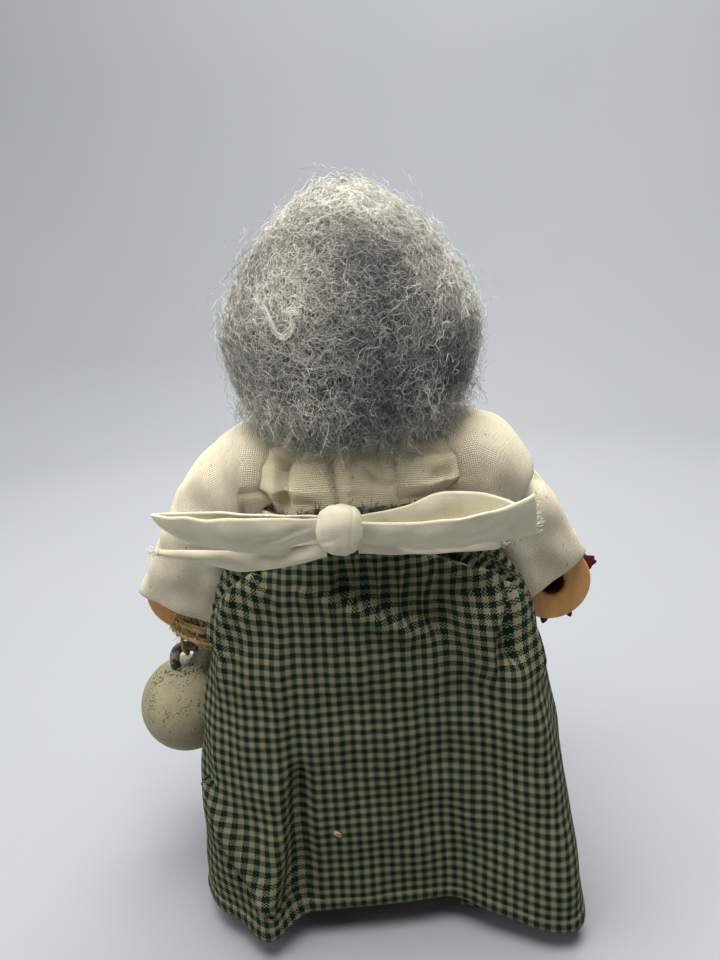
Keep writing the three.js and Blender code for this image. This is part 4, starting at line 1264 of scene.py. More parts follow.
@dataclass
class Wig:
    """Curly wool round the head: a matted ground, loose strands, stray hairs and a pale curl."""

    nape: float = 156.2
    top: float = 227.0
    half_width: float = 38.6
    back: float = 38.5
    front: float = 30.0
    levels: Line = (
        (0.0, 0.55, 0.818, 0.6), (0.09, 0.77, 0.9, 0.8), (0.23, 0.935, 0.974, 0.933),
        (0.42, 1.0, 1.0, 1.0), (0.6, 0.875, 0.92, 0.95), (0.76, 0.68, 0.74, 0.82),
        (0.89, 0.435, 0.49, 0.58), (0.97, 0.21, 0.23, 0.29), (1.0, 0.0, 0.0, 0.0))
    middle: Point = (0.0, 4.0, 190.0)
    face_height: float = 185.0
    face_half_width: float = 19.0
    face_half_height: float = 21.0
    nape_fullness: float = 2.0
    ground_depth: float = 2.6
    ground_wall: float = 2.0
    ground_edge: float = 150.0
    ground_rows: int = 90
    ground_columns: int = 180
    lowest_root: float = 152.0
    strand_radius: float = 0.064
    strand_step: float = 0.95
    strand_points: int = 20
    strands_in_lock: int = 1420
    locks: int = 7
    strays: int = 900
    dark_patches: Line = ((-2.4, 34.0, 200.7, 12.0), (-7.9, 38.0, 172.8, 11.0), (26.8, 18.0, 201.9, 7.0),
                          (-25.7, 22.0, 172.8, 9.0), (-6.3, 36.0, 163.0, 9.0))
    pale_patches: Line = ((1.0, 18.0, 215.6, 10.0), (12.6, 30.0, 194.6, 9.0))
    curl: Line = ((22.6, 31.0, 192.6), (21.4, 32.2, 193.4), (20.2, 33.2, 190.0), (18.6, 34.4, 186.4),
                  (16.2, 35.4, 185.8), (14.6, 35.9, 188.4), (14.9, 35.8, 191.4), (12.6, 36.4, 192.0))
    curl_strands: int = 16
    flyaways: int = 110
    wisps: int = 900
    bearings: int = 96
    tilts: int = 72
    table: Array = field(init=False)

    def __post_init__(self) -> None:
        """Works out the wig's radius in every direction from its middle."""
        bearing = np.linspace(0.0, FULL_TURN, self.bearings + 1)
        rise = spline(self.levels, 80)
        rise[-1, 1:] = 0.0
        self.table = np.empty((self.tilts + 1, self.bearings + 1))
        tilt = np.linspace(0.0, math.pi, self.tilts + 1)
        for column, angle in enumerate(bearing):
            share = np.maximum(rise[:, 1:], 1e-4)
            radius = section_radius(angle, share[:, 0] * self.half_width, share[:, 1] * self.back,
                                    share[:, 2] * self.front, 2.0)
            across = radius * math.cos(angle) - self.middle[0]
            along = radius * math.sin(angle) - self.middle[1]
            up = self.nape + rise[:, 0] * (self.top - self.nape) - self.middle[2]
            flat = np.hypot(across, along)
            slope = np.arctan2(flat, up)
            order = np.argsort(slope)
            self.table[:, column] = np.interp(tilt, slope[order], np.hypot(flat, up)[order])

    def reach(self, direction: Array) -> Array:
        """Radius of the wig in directions from its middle.

        Args:
            direction: Unit vectors.

        Returns:
            Radii in millimetres.
        """
        tilt = np.arccos(np.clip(direction[..., 2], -1.0, 1.0)) / math.pi * self.tilts
        bearing = np.mod(np.arctan2(direction[..., 1], direction[..., 0]), FULL_TURN)
        column = bearing / FULL_TURN * self.bearings
        row_low = np.minimum(tilt.astype(int), self.tilts - 1)
        column_low = np.minimum(column.astype(int), self.bearings - 1)
        down = tilt - row_low
        round_share = column - column_low
        upper = (self.table[row_low, column_low] * (1 - round_share)
                 + self.table[row_low, column_low + 1] * round_share)
        lower = (self.table[row_low + 1, column_low] * (1 - round_share)
                 + self.table[row_low + 1, column_low + 1] * round_share)
        low_side = smoothstep(1.75, 2.45, np.arccos(np.clip(direction[..., 2], -1.0, 1.0)))
        low_side = low_side * smoothstep(-0.4, 0.3, direction[..., 1]) * np.abs(np.cos(bearing)) ** 0.7
        return upper * (1 - down) + lower * down + self.nape_fullness * low_side

    def in_face(self, points: Array, margin: float) -> Array:
        """Tells which points lie in the opening for the face.

        Args:
            points: Points in millimetres.
            margin: Size of the opening as a share of its own.

        Returns:
            One flag for each point.
        """
        across = points[..., 0] / (self.face_half_width * margin)
        up = (points[..., 2] - self.face_height) / (self.face_half_height * margin)
        return (points[..., 1] < -6.0) & (across ** 2 + up ** 2 < 1.0)

    def tone_at(self, points: Array) -> Array:
        """Shade of the wool at points, darker and paler by patches.

        Args:
            points: Points in millimetres.

        Returns:
            Tones about 0 to 1.
        """
        tone = 0.56 + 0.14 * ripples(points * MM, 26.0 * MM, 5)
        for patches, change in ((self.dark_patches, -0.34), (self.pale_patches, 0.26)):
            for *place, size in patches:
                away = np.linalg.norm(points - np.array(place), axis=-1)
                tone = tone + change * np.exp(-(away / size) ** 2)
        return tone

    def walk(self, seed: int, count: int, lift: tuple[float, float], wild: float) -> Array:
        """Lets strands wander over the wig in crimped curls.

        Args:
            seed: Chooses the strands.
            count: Number of strands to start.
            lift: Least and greatest height over the wig's surface in millimetres.
            wild: How much a strand lifts off along its length, in millimetres.

        Returns:
            Strands by points by 3, in millimetres, without those that cross the face.
        """
        chance = np.random.default_rng(seed)
        upright = chance.uniform(math.cos(math.radians(self.lowest_root)), 1.0, count)
        bearing = chance.uniform(0.0, FULL_TURN, count)
        here = polar(np.sqrt(1.0 - upright ** 2), bearing, upright)
        heading = unit(np.cross(here, np.array([0.0, 0.0, 1.0]) + 0.6 * chance.normal(size=(count, 3))))
        swing = chance.uniform(0.35, 1.0, count) * chance.choice([-1.0, 1.0], count)
        pace = chance.uniform(0.7, 1.7, count)
        phase = chance.uniform(0.0, FULL_TURN, count)
        drift = chance.normal(0.0, 0.14, count)
        base = chance.uniform(lift[0], lift[1], count)
        wave = chance.uniform(0.12, 0.5, count)
        path = np.empty((count, self.strand_points, 3))
        for step in range(self.strand_points):
            rise = wild * step / (self.strand_points - 1) * np.abs(np.sin(phase))
            height = base + wave * np.sin(phase * 2 + step * pace * 1.3) + rise
            path[:, step] = np.array(self.middle) + here * (self.reach(here) + height)[:, None]
            turn = swing * np.sin(phase + step * pace) + drift
            side = np.cross(here, heading)
            heading = heading * np.cos(turn)[:, None] + side * np.sin(turn)[:, None]
            here = unit(here + heading * (self.strand_step / np.maximum(self.reach(here), 20.0))[:, None])
            heading = unit(heading - here * np.sum(heading * here, axis=-1, keepdims=True))
        return path[~self.in_face(path, 0.97).any(axis=1)]

    def add_strands(self, name: str, paths: Array, seed: int, thickness: float) -> Piece:
        """Makes strands from their paths.

        Args:
            name: Name of the piece.
            paths: Strands by points by 3, in millimetres.
            seed: Chooses the shades.
            thickness: Share of the usual radius.

        Returns:
            The strands.
        """
        chance = np.random.default_rng(seed)
        count, points = paths.shape[:2]
        taper = 1.0 - 0.55 * np.abs(np.linspace(-1.0, 1.0, points)) ** 3
        radii = self.strand_radius * MM * thickness * taper * chance.uniform(0.7, 1.25, (count, 1))
        tones = self.tone_at(paths[:, points // 2]) + chance.normal(0.0, 0.29, count)
        piece = Workshop.tubes(name, paths * MM, radii, 3, np.clip(tones, 0.0, 1.0))
        return Workshop.finish(piece, "grey_wool", Body.HEAD, Wool().material())

    def add_ground(self) -> None:
        """Makes the matted wool under the strands, open at the face."""
        tilt = np.linspace(math.radians(self.ground_edge), 0.004, self.ground_rows)[:, None]
        bearing = np.linspace(0.0, FULL_TURN, self.ground_columns + 1)[None, :]
        direction = polar(np.sin(tilt), bearing, np.cos(tilt))
        clumps = 0.5 * ripples(direction, 0.22, 11) + 0.35 * ripples(direction, 0.09, 12)
        radius = self.reach(direction) - self.ground_depth + clumps
        points = (np.array(self.middle) + direction * radius[..., None]) * MM
        uv = np.stack(np.broadcast_arrays(bearing * 0.03, tilt * 0.03), axis=-1)
        ground = Workshop.sheet("wig_ground", points, uv, 0.0, closed=True)
        Workshop.drop_faces(ground, self.in_face(Workshop.face_middles(ground) / MM, 1.0))
        Workshop.apply(ground, "SOLIDIFY", thickness=self.ground_wall * MM, offset=-1.0)
        Workshop.finish(ground, "grey_wool", Body.HEAD, WoolGround().material(), node="hair_wig")

    def add_curl(self) -> None:
        """Makes the pale curl at the left of the back."""
        chance = np.random.default_rng(77)
        line = spline(self.curl, self.strand_points)
        spread = chance.normal(0.0, 0.26, (self.curl_strands, 1, 3))
        waver = np.cumsum(chance.normal(0.0, 0.08, (self.curl_strands, self.strand_points, 3)), axis=1)
        outward = unit(line - np.array(self.middle))
        curl = self.add_strands("wig_curl", line + spread + waver + outward * 0.4, 78, 1.0)
        tones = np.repeat(chance.uniform(0.75, 1.0, self.curl_strands), self.strand_points * 3)
        curl.data.attributes[TONE].data.foreach_set("value", tones.astype(np.float32))

    def add_wisps(self) -> None:
        """Lets loose ends hang from the nape over the blouse."""
        chance = np.random.default_rng(320)
        bearing = np.radians(chance.uniform(8.0, 172.0, self.wisps))
        tilt = np.radians(chance.uniform(118.0, 146.0, self.wisps))
        root = polar(np.sin(tilt), bearing, np.cos(tilt))
        depth = chance.uniform(0.0, 1.6, self.wisps)
        start = np.array(self.middle) + root * (self.reach(root) - depth)[:, None]
        share = np.linspace(0.0, 1.0, self.strand_points)[None, :, None]
        hang = np.stack([root[:, 0] * 2.0, root[:, 1] * 3.0, np.full(self.wisps, -1.0)], axis=-1)
        hang[:, :2] += chance.normal(0.0, 1.6, (self.wisps, 2))
        reach = chance.uniform(2.5, 8.5, (self.wisps, 1, 1))
        phase = chance.uniform(0.0, FULL_TURN, (self.wisps, 1, 3))
        curls = np.sin(phase + share * chance.uniform(5.0, 13.0, (self.wisps, 1, 1))) - np.sin(phase)
        fall = hang[:, None] * share ** np.array([1.0, 1.0, 1.3])
        fall[..., 2] *= reach[..., 0]
        self.add_strands("wig_wisps", start[:, None] + fall + curls * 0.8, 321, 0.9)

    def build(self) -> None:
        """Builds the wig, which rides on the head."""
        self.add_ground()
        self.add_curl()
        self.add_wisps()
        for lock in range(self.locks):
            paths = self.walk(100 + lock, self.strands_in_lock, (-2.6, -0.3), 0.4)
            self.add_strands(f"wig_lock_{lock + 1}", paths, 200 + lock, 1.0)
        self.add_strands("wig_strays", self.walk(300, self.strays, (-0.6, 0.5), 3.0), 301, 0.75)
        self.add_strands("wig_flyaways", self.walk(302, self.flyaways, (0.2, 1.4), 6.5), 303, 0.8)


@dataclass
class Blouse:
    """Muslin blouse body over its stuffing."""

    levels: Line = (
        (121.0, 30.1, 31.0, 26.5, 2.4), (131.0, 30.1, 31.0, 26.5, 2.4), (139.4, 30.1, 31.0, 26.5, 2.4),
        (143.0, 33.2, 30.2, 25.0, 3.2), (149.0, 33.2, 28.0, 23.0, 3.2), (153.4, 31.5, 24.4, 20.5, 2.8),
        (157.2, 24.0, 20.0, 17.0, 2.3), (160.4, 12.6, 12.6, 12.6, 2.0))
    cloth: float = 0.9
    rows: int = 100
    columns: int = 240
    armhole: float = 12.0
    armhole_height: float = 144.0
    stuffing_foot: float = 112.0
    stuffing_inset: float = 3.6
    stuffing_bore: float = 12.2
    gathers: int = 23
    gather_depth: float = 0.4
    gather_span: tuple[float, float] = (147.0, 156.0)
    seam_span: tuple[float, float] = (27.0, 23.0)
    waist_span: tuple[float, float] = (131.0, 135.0)
    wall_share: float = 0.6
    folds: tuple[Fold, ...] = (
        Fold(((23.6, 152.0), (24.0, 145.0), (24.6, 135.0)), 1.5, 1.8, 1.8, 0.3),
        Fold(((20.4, 152.3), (21.2, 146.0), (22.0, 135.0)), -2.0, 1.2, 1.5, 0.2),
        Fold(((25.2, 149.8), (21.6, 152.3), (15.8, 156.5)), 1.3, 1.8, 1.6),
        Fold(((23.6, 149.4), (19.4, 151.4), (14.0, 155.0)), -1.6, 1.1, 1.2),
        Fold(((7.7, 155.0), (7.4, 146.0), (5.7, 135.0)), -1.4, 0.8, 1.8),
        Fold(((4.6, 155.0), (4.0, 147.0), (2.6, 141.0)), 1.0, 2.0, 2.0),
        Fold(((-0.7, 149.4), (-5.5, 145.2), (-9.8, 142.9)), -1.2, 1.4, 0.8),
        Fold(((-7.9, 155.5), (-8.6, 146.4), (-9.9, 135.0)), 0.8, 0.7, 0.5, 0.1),
        Fold(((-9.5, 155.9), (-10.0, 146.4), (-11.1, 135.0)), -0.9, 0.6, 0.6, 0.1),
        Fold(((-18.0, 144.1), (-23.6, 144.9), (-26.3, 143.0)), -1.5, 1.9, 1.9),
        Fold(((-14.0, 149.0), (-19.0, 149.4), (-24.0, 148.0)), 0.9, 2.4, 2.4))

    def section(self, height: Array) -> tuple[Array, ...]:
        """Half width, back, front and power of the sections at heights in millimetres."""
        table = np.array(self.levels).T
        return tuple(np.interp(height, table[0], column) for column in table[1:])

    def radius(self, height: Array, bearing: Array, inset: float) -> Array:
        """Radii at heights in millimetres and bearings in radians, inset from the outer face."""
        half, back, front, power = self.section(height)
        return section_radius(bearing, half - inset, back - inset, front - inset, power)

    def surface(self, heights: Array, columns: int, inset: float) -> Array:
        """Points on the blouse.

        Args:
            heights: Heights of the rows in millimetres, rising.
            columns: Number of steps round the body.
            inset: How far inside the outer face, in millimetres.

        Returns:
            Rows by columns by 3, in metres.
        """
        bearing = np.linspace(0.0, FULL_TURN, columns + 1)[None, :] - math.pi / 2
        height = np.asarray(heights)[:, None]
        return polar(self.radius(height, bearing, inset), bearing, height) * MM

    def build(self) -> None:
        """Builds the stuffing and the cloth over it."""
        levels = np.array(self.levels)[:, 0]
        heights = np.linspace(levels[0], levels[-1], self.rows)
        points = self.surface(heights, self.columns, 0.0)
        normals = Workshop.grid_normals(points, True)
        bearing = np.arctan2(points[..., 1], points[..., 0])
        gathers = self.gather_depth * MM * np.cos(self.gathers * bearing)
        gathers = gathers * smoothstep(*self.gather_span, heights)[:, None]
        off_seam = smoothstep(*self.seam_span, np.abs(points[..., 0]) / MM)
        lift = (0.3 * MM * ripples(points, 11.0 * MM, 21) + gathers) * off_seam
        for fold in self.folds:
            lift = lift + fold.relief(points)
        above_waist = smoothstep(*self.waist_span, heights)[:, None]
        points = points + normals * (lift * above_waist)[..., None]
        uv = Workshop.places(points)
        flat_width = float(uv[..., 0].max())
        flat_height = float(uv[..., 1].max())
        blouse = Workshop.sheet("blouse_body", points, uv, 0.0, closed=True)
        middles = Workshop.face_middles(blouse) / MM
        from_axis = np.hypot(middles[:, 1], middles[:, 2] - self.armhole_height)
        Workshop.drop_faces(blouse, (from_axis < self.armhole) & (np.abs(middles[:, 0]) > 20.0))
        Workshop.apply(blouse, "SOLIDIFY", thickness=self.cloth * self.wall_share * MM, offset=-1.0)
        Workshop.finish(blouse, "cream_muslin", Body.DOLL, Muslin().material(), node="bodice")
        self.add_stuffing()
        Workshop.declare(blouse, points, (flat_width, flat_height), "stretched", "torso_wadding")

    def add_stuffing(self) -> None:
        """Builds the wadding that fills the blouse, hollow for the post."""
        heights = np.concatenate([np.linspace(self.stuffing_foot, 120.0, 6), np.linspace(121.0, 158.6, 30)])
        shell = self.surface(heights, 96, self.stuffing_inset)
        outward = shell * np.array([1.0, 1.0, 0.0])
        reach = np.linalg.norm(outward, axis=-1, keepdims=True)
        shell = shell - outward / reach * (0.5 * MM * (1.0 + ripples(shell, 9.0 * MM, 22)))[..., None]
        low, high = (Vector(corner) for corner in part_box("torso_stuffing"))
        shell[..., 2] = np.clip(shell[..., 2], low.z, high.z)
        bore = outward / reach * self.stuffing_bore * MM
        core = (shell * np.array([0.0, 0.0, 1.0]) + bore)[::-1]
        ring = np.concatenate([shell, core, shell[:1]], axis=0)
        uv = np.zeros(ring.shape[:2] + (2,))
        wadding = Workshop.sheet("torso_wadding", ring, uv, 0.0, closed=True)
        Workshop.finish(wadding, "stuffing", Body.DOLL, Wadding().material(), node="torso_stuffing")


@dataclass(frozen=True)
class Flute:
    """A fold that swells towards the hem: bearing and spread in degrees, reach and dip in millimetres.

    A low fullness fills out close under the sash, and 1 widens evenly down to the hem. The lee is the far
    side's share of the spread.
    """

    bearing: float
    spread: float
    reach: float
    dip: float
    fullness: float
    lee: float = 1.0

    def share(self, bearing: Array) -> Array:
        """Share of the flute's swell at bearings in degrees."""
        away = np.mod(bearing - self.bearing + 180.0, 360.0) - 180.0
        return np.exp(-(away / (self.spread * np.where(away > 0.0, self.lee, 1.0))) ** 2)


@dataclass
class Skirt:
    """Checked skirt, gathered under the sash and hanging in flutes."""

    hem: tuple[float, ...] = (46.0, 38.0, 43.0, 2.3)
    top: float = 138.6
    side_drop: float = 2.8
    gather: float = 126.5
    foot: float = 11.0
    fullness: float = 3.2
    flutes: tuple[Flute, ...] = (
        Flute(22.5, 16.5, 16.5, 2, 0.38, 1.9), Flute(38, 12, 2.5, 1, 0.9), Flute(53, 9, 9.5, 2, 3.0, 0.42),
        Flute(139.5, 11.5, 29, 4, 0.62, 1.3),
        Flute(161, 14.5, 14.5, 0, 0.3), Flute(214, 15, 11, 0, 0.9), Flute(262, 14, 8, 0, 0.9),
        Flute(318, 16, 10, 0, 0.9))
    gathers: int = 34
    gather_depth: float = 0.35
    cloth: float = 0.45
    rows: int = 150
    back_columns: int = 230
    front_columns: int = 76
    hem_turn: float = 2.7
    nub: tuple[float, float] = (13.6, 38.8)
    flap: tuple[tuple[float, float], tuple[float, float]] = ((-24.0, 2.2), (-36.0, 14.0))
    flap_depth: float = 32.0
    girth_step: float = 0.7
    back_span: tuple[float, float] = (-12.0, 192.0)
    collar_sides: tuple[tuple[float, float], ...] = ((12.0, 22.0), (-18.0, -28.0))
    collar_rows: int = 14
    stitch_pitch: float = 2.2
    stitch_length: float = 1.5
    fray_threads: int = 420
    nub_points: int = 60
    folds: tuple[Fold, ...] = (
        Fold(((33.4, 118.0), (36.5, 115.2), (40.1, 111.6), (42.4, 106.4), (46.1, 98.9), (47.4, 94.2)),
             2.8, 0.8, 7.0, 0.1, 2.4),
        Fold(((34.5, 120.5), (38.5, 117.5), (42.1, 114.9), (44.9, 111.2), (47.1, 106.0), (48.8, 101.0)),
             -8.0, 2.8, 2.2, 0.12),
        Fold(((51.0, 121.0), (52.0, 115.0), (52.5, 106.0), (52.0, 97.0)), 3.2, 3.0, 2.6),
        Fold(((36.4, 114.5), (39.1, 107.9), (40.3, 102.7), (40.8, 97.2), (40.5, 91.3), (41.7, 79.3)),
             1.0, 1.4, 1.6),
        Fold(((-18.4, 123.3), (-25.1, 120.7), (-30.5, 117.5), (-34.5, 114.8), (-36.3, 111.8), (-34.0, 107.0),
              (-31.4, 101.3), (-30.0, 94.7), (-29.5, 82.0)), 2.8, 6.0, 0.7, 0.1, -0.9),
        Fold(((-19.0, 125.6), (-22.1, 124.8), (-28.6, 122.1), (-34.8, 119.2), (-39.2, 114.8), (-39.4, 110.5),
              (-36.8, 104.7), (-34.4, 97.0), (-33.0, 88.0)), -6.5, 1.8, 2.2, 0.1),
        Fold(((-36.0, 120.6), (-38.3, 117.4), (-40.4, 113.2), (-42.0, 107.6), (-42.2, 100.0), (-42.5, 89.2),
              (-40.7, 81.0)), 2.4, 3.2, 0.7, 0.12, -0.8),
        Fold(((-39.2, 122.0), (-42.2, 118.0), (-44.8, 113.0), (-46.2, 107.0), (-46.2, 100.0), (-46.0, 90.0),
              (-44.2, 81.0)), -6.0, 1.8, 2.0, 0.12),
        Fold(((-49.0, 121.0), (-50.0, 108.0), (-50.0, 92.0), (-48.0, 66.0)), 2.4, 3.2, 3.2, 0.45),
        Fold(((27.0, 114.2), (18.3, 114.7), (11.8, 112.6), (2.5, 109.1), (-9.6, 103.4), (-21.5, 98.0)),
             2.4, 4.0, 1.4),
        Fold(((14.0, 118.6), (5.0, 114.6), (-8.0, 109.4), (-20.0, 104.0), (-27.0, 101.0)), -4.2, 3.4, 8.5),
        Fold(((-22.5, 108.6), (-25.0, 94.0), (-27.0, 77.0), (-28.4, 58.0), (-28.6, 36.0), (-26.0, 16.0)),
             -2.4, 3.2, 4.2),
        Fold(((22.4, 66.0), (22.5, 53.2), (22.8, 40.3), (23.0, 27.5), (23.3, 18.2), (23.7, 6.0)),
             -4.6, 1.3, 2.6, 0.18),
        Fold(((44.6, 51.5), (43.9, 49.8), (38.5, 40.9), (34.0, 30.3), (28.6, 22.0), (26.0, 14.0)),
             2.2, 0.8, 3.6, 0.12, 1.8),
        Fold(((46.0, 49.0), (40.6, 39.2), (36.0, 28.8), (30.6, 20.0)), -3.0, 1.8, 1.6, 0.15))

    def surface(self, drop: Array, bearing: Array) -> Array:
        """Points on the skirt below its gathers.

        Args:
            drop: Shares of the way down, 0 under the sash and 1 at the hem.
            bearing: Bearings in degrees.

        Returns:
            Points in metres.
        """
        angle = np.radians(bearing)
        flare = 1.0 - (1.0 - drop) ** self.fullness
        waist, hem = (section_radius(angle, *sizes) for sizes in (WAIST, self.hem))
        swell = sum(flute.reach * flute.share(bearing) * drop ** flute.fullness for flute in self.flutes)
        pleat = self.gather_depth * (1.0 + np.cos(self.gathers * angle)) * (1.0 - drop)
        radius = waist + (hem - waist) * flare + swell + pleat
        low = self.foot - sum(flute.dip * flute.share(bearing) for flute in self.flutes)
        height = self.gather + (low - self.gather) * drop
        return polar(radius, angle, height) * MM

    def columns(self) -> Array:
        """Bearings of the columns in degrees, closer together at the back.

        Returns:
            Bearings from the front seam once round, with the first repeated.
        """
        first, last = self.back_span
        back = spaced(first, last, self.back_columns, ((33.0, 18.0, 1.5), (142.0, 20.0, 1.7)))
        front_right = np.linspace(last, FRONT, self.front_columns // 2)[1:]
        front_left = np.linspace(FRONT - 360.0, first, self.front_columns // 2)[:-1]
        return np.concatenate([front_left, back, front_right])

    def build(self) -> None:
        """Builds the skirt, its hem stitches, its frayed top and the flap inside the right fold."""
        bearing = self.columns()[None, :]
        drop = spaced(0.0, 1.0, self.rows, ((0.14, 0.15, 2.0), (1.0, 0.05, 0.8)))[::-1, None]
        drop, bearing = np.broadcast_arrays(drop, bearing)
        points = self.surface(drop, bearing)
        normals = Workshop.grid_normals(points, True)
        lift = 0.4 * MM * ripples(points, 18.0 * MM, 31) * smoothstep(0.0, 0.25, drop)
        girth = (BACK - bearing) * self.girth_step * MM
        unrolled = np.stack([girth, np.ones_like(drop), points[..., 2]], axis=-1)
        lift = lift + sum(fold.relief(unrolled) for fold in self.folds)
        push = sum(fold.push(unrolled) for fold in self.folds) / MM
        points = self.surface(np.clip(drop - push[..., 1] / (self.gather - self.foot), 0.0, 1.0),
                              bearing - push[..., 0] / self.girth_step)
        turned_up = smoothstep(self.hem_turn + 0.6, self.hem_turn - 0.2,
                               (points[..., 2] - points[:1, :, 2]) / MM)
        uv = self.flat_places(self.with_collar(self.surface(drop, bearing)))
        points = self.with_collar(points + normals * (lift + 0.3 * MM * turned_up)[..., None])
        skirt = Workshop.sheet("skirt_cloth", points, uv, self.cloth * MM, closed=True)
        self.ride_along(skirt, Check(), "skirt")
        trims = [self.add_stitches(points), self.add_fray(points), self.add_nub(points), self.add_flap()]
        flat_width = float(uv[0, :, 0].max() - uv[0, :, 0].min())
        flat_length = float(uv[..., 1].max())
        Workshop.declare(skirt, points, (flat_width, flat_length), "gathered", "body_post", trims)

    @staticmethod
    def ride_along(piece: Piece, finish: Finish, node: str = "") -> Piece:
        """Finishes a piece of the skirt, which rides on the body."""
        return Workshop.finish(piece, "checked_homespun", Body.DOLL, finish.material(), node=node)

    def with_collar(self, points: Array) -> Array:
        """Carries the cloth up under the sash to its raw top edge, lower at the sides.

        Args:
            points: Grid of the skirt, from hem to gathers.

        Returns:
            The grid with the rows under the sash added.
        """
        share = np.linspace(0.0, 1.0, self.collar_rows)[:, None]
        across = points[-1, :, 0] / MM
        to_side = np.maximum(*(smoothstep(*span, across) for span in self.collar_sides))
        collar = np.repeat(points[-1:], self.collar_rows, axis=0)
        height = self.gather + 1.0 + (self.top - self.gather - 1.0) * share
        collar[..., 2] = (height - self.side_drop * to_side * share) * MM
        return np.concatenate([points, collar], axis=0)

    @staticmethod
    def flat_places(points: Array) -> Array:
        """Lays the skirt flat: lengths round each level from the middle of the back.

        Args:
            points: Grid of the skirt, from hem to top.

        Returns:
            Places on the flat cloth in metres.
        """
        round_way = Workshop.running_length(points, 1)
        middle = int(np.argmin(np.abs(points[0, :, 0]) - points[0, :, 1]))
        round_way = round_way - round_way[:, middle:middle + 1]
        up_way = Workshop.running_length(points, 0).mean(axis=1, keepdims=True)
        return np.stack(np.broadcast_arrays(-round_way, up_way), axis=-1)

    def add_stitches(self, points: Array) -> Piece:
        """Sews the hem with short stitches.

        Args:
            points: Grid of the skirt, from hem to top.

        Returns:
            The stitches.
        """
        chance = np.random.default_rng(41)
        above = (points[:, :, 2] - points[:1, :, 2]) / MM
        row = int(np.argmax(above[:, above.shape[1] // 2] > self.hem_turn))
        line = points[row]
        normal = Workshop.grid_normals(points, True)[row]
        length = Workshop.line_length(line)
        starts = np.arange(0.0, length[-1] - 3.0 * MM, self.stitch_pitch * MM)
        share = np.linspace(0.0, self.stitch_length * MM, 5)
        places = starts[:, None] + share + chance.normal(0.0, 0.12 * MM, (len(starts), 1))
        paths = picked(line + normal * 0.12 * MM, length, places)
        paths[..., 2] += chance.normal(0.0, 0.1 * MM, (len(starts), 1))
        radii = np.full(paths.shape[:2], 0.1 * MM)
        stitches = Workshop.tubes("hem_stitches", paths, radii, 5, chance.uniform(0.3, 0.8, len(starts)))
        return self.ride_along(stitches, Fibre("hem_thread", paint(96, 92, 68), paint(158, 148, 116)))

    def add_fray(self, points: Array) -> Piece:
        """Frays the raw top edge.

        Args:
            points: Grid of the skirt, from hem to top.

        Returns:
            The loose threads.
        """
        chance = np.random.default_rng(42)
        count = self.fray_threads
        column = chance.integers(0, points.shape[1] - 1, count)
        root = points[-1, column] - np.array([0.0, 0.0, 0.8 * MM])
        outward = unit(root * np.array([1.0, 1.0, 0.0]))
        reach = chance.uniform(0.6, 2.4, (count, 1, 1)) * MM
        share = np.linspace(0.0, 1.0, 5)[None, :, None]
        bend = chance.normal(0.0, 0.7, (count, 1, 3)) * MM
        paths = (root[:, None] + outward[:, None] * 0.25 * MM + np.array([0.0, 0.0, 1.0]) * reach * share
                 + bend * share ** 2)
        radii = np.full(paths.shape[:2], 0.09 * MM)
        fray = Workshop.tubes("skirt_top_fray", paths, radii, 3, chance.uniform(0.0, 1.0, count))
        return self.ride_along(fray, Fibre("fray_thread", paint(16, 62, 54), paint(150, 136, 104)))

    def add_nub(self, points: Array) -> Piece:
        """Leaves a tangle of thread on the back, as woven in.

        Args:
            points: Grid of the skirt, from hem to top.

        Returns:
            The tangle.
        """
        away = np.hypot(points[..., 0] - self.nub[0] * MM, points[..., 2] - self.nub[1] * MM)
        spot = np.unravel_index(np.argmin(np.where(points[..., 1] > 0.0, away, 1.0)), away.shape)
        turn = np.linspace(0.0, 3.0 * FULL_TURN, self.nub_points)
        coil = np.stack([0.9 * np.cos(turn), 0.35 * np.sin(turn * 0.7), 0.7 * np.sin(turn * 1.1)], axis=-1)
        path = points[spot] + np.array([0.0, 0.5 * MM, 0.0]) + coil * MM
        radii = np.full((1, self.nub_points), 0.22 * MM)
        tangle = Workshop.tubes("skirt_nub", path[None], radii, 6, np.array([0.7]))
        return self.ride_along(tangle, Fibre("nub_thread", paint(120, 96, 72), paint(196, 160, 128)))

    def add_flap(self) -> Piece:
        """Hangs the raw corner of the overlap inside the hem.

        Returns:
            The flap.
        """
        share = np.linspace(0.0, 1.0, 24)[None, :]
        rise = np.linspace(0.0, 1.0, 12)[:, None]
        (left, low), (right, high) = self.flap
        across = left + (right - left) * share
        height = low + (high - low) * rise + 0.5 * np.sin(9.0 * share) * (1.0 - rise)
        depth = self.flap_depth + 0.7 * np.sin(4.0 * share + 2.0 * rise)
        points = np.stack(np.broadcast_arrays(across, depth, height), axis=-1) * MM
        uv = np.stack([-points[..., 0], points[..., 2]], axis=-1)
        return self.ride_along(Workshop.sheet("skirt_flap", points, uv, self.cloth * MM), Check())


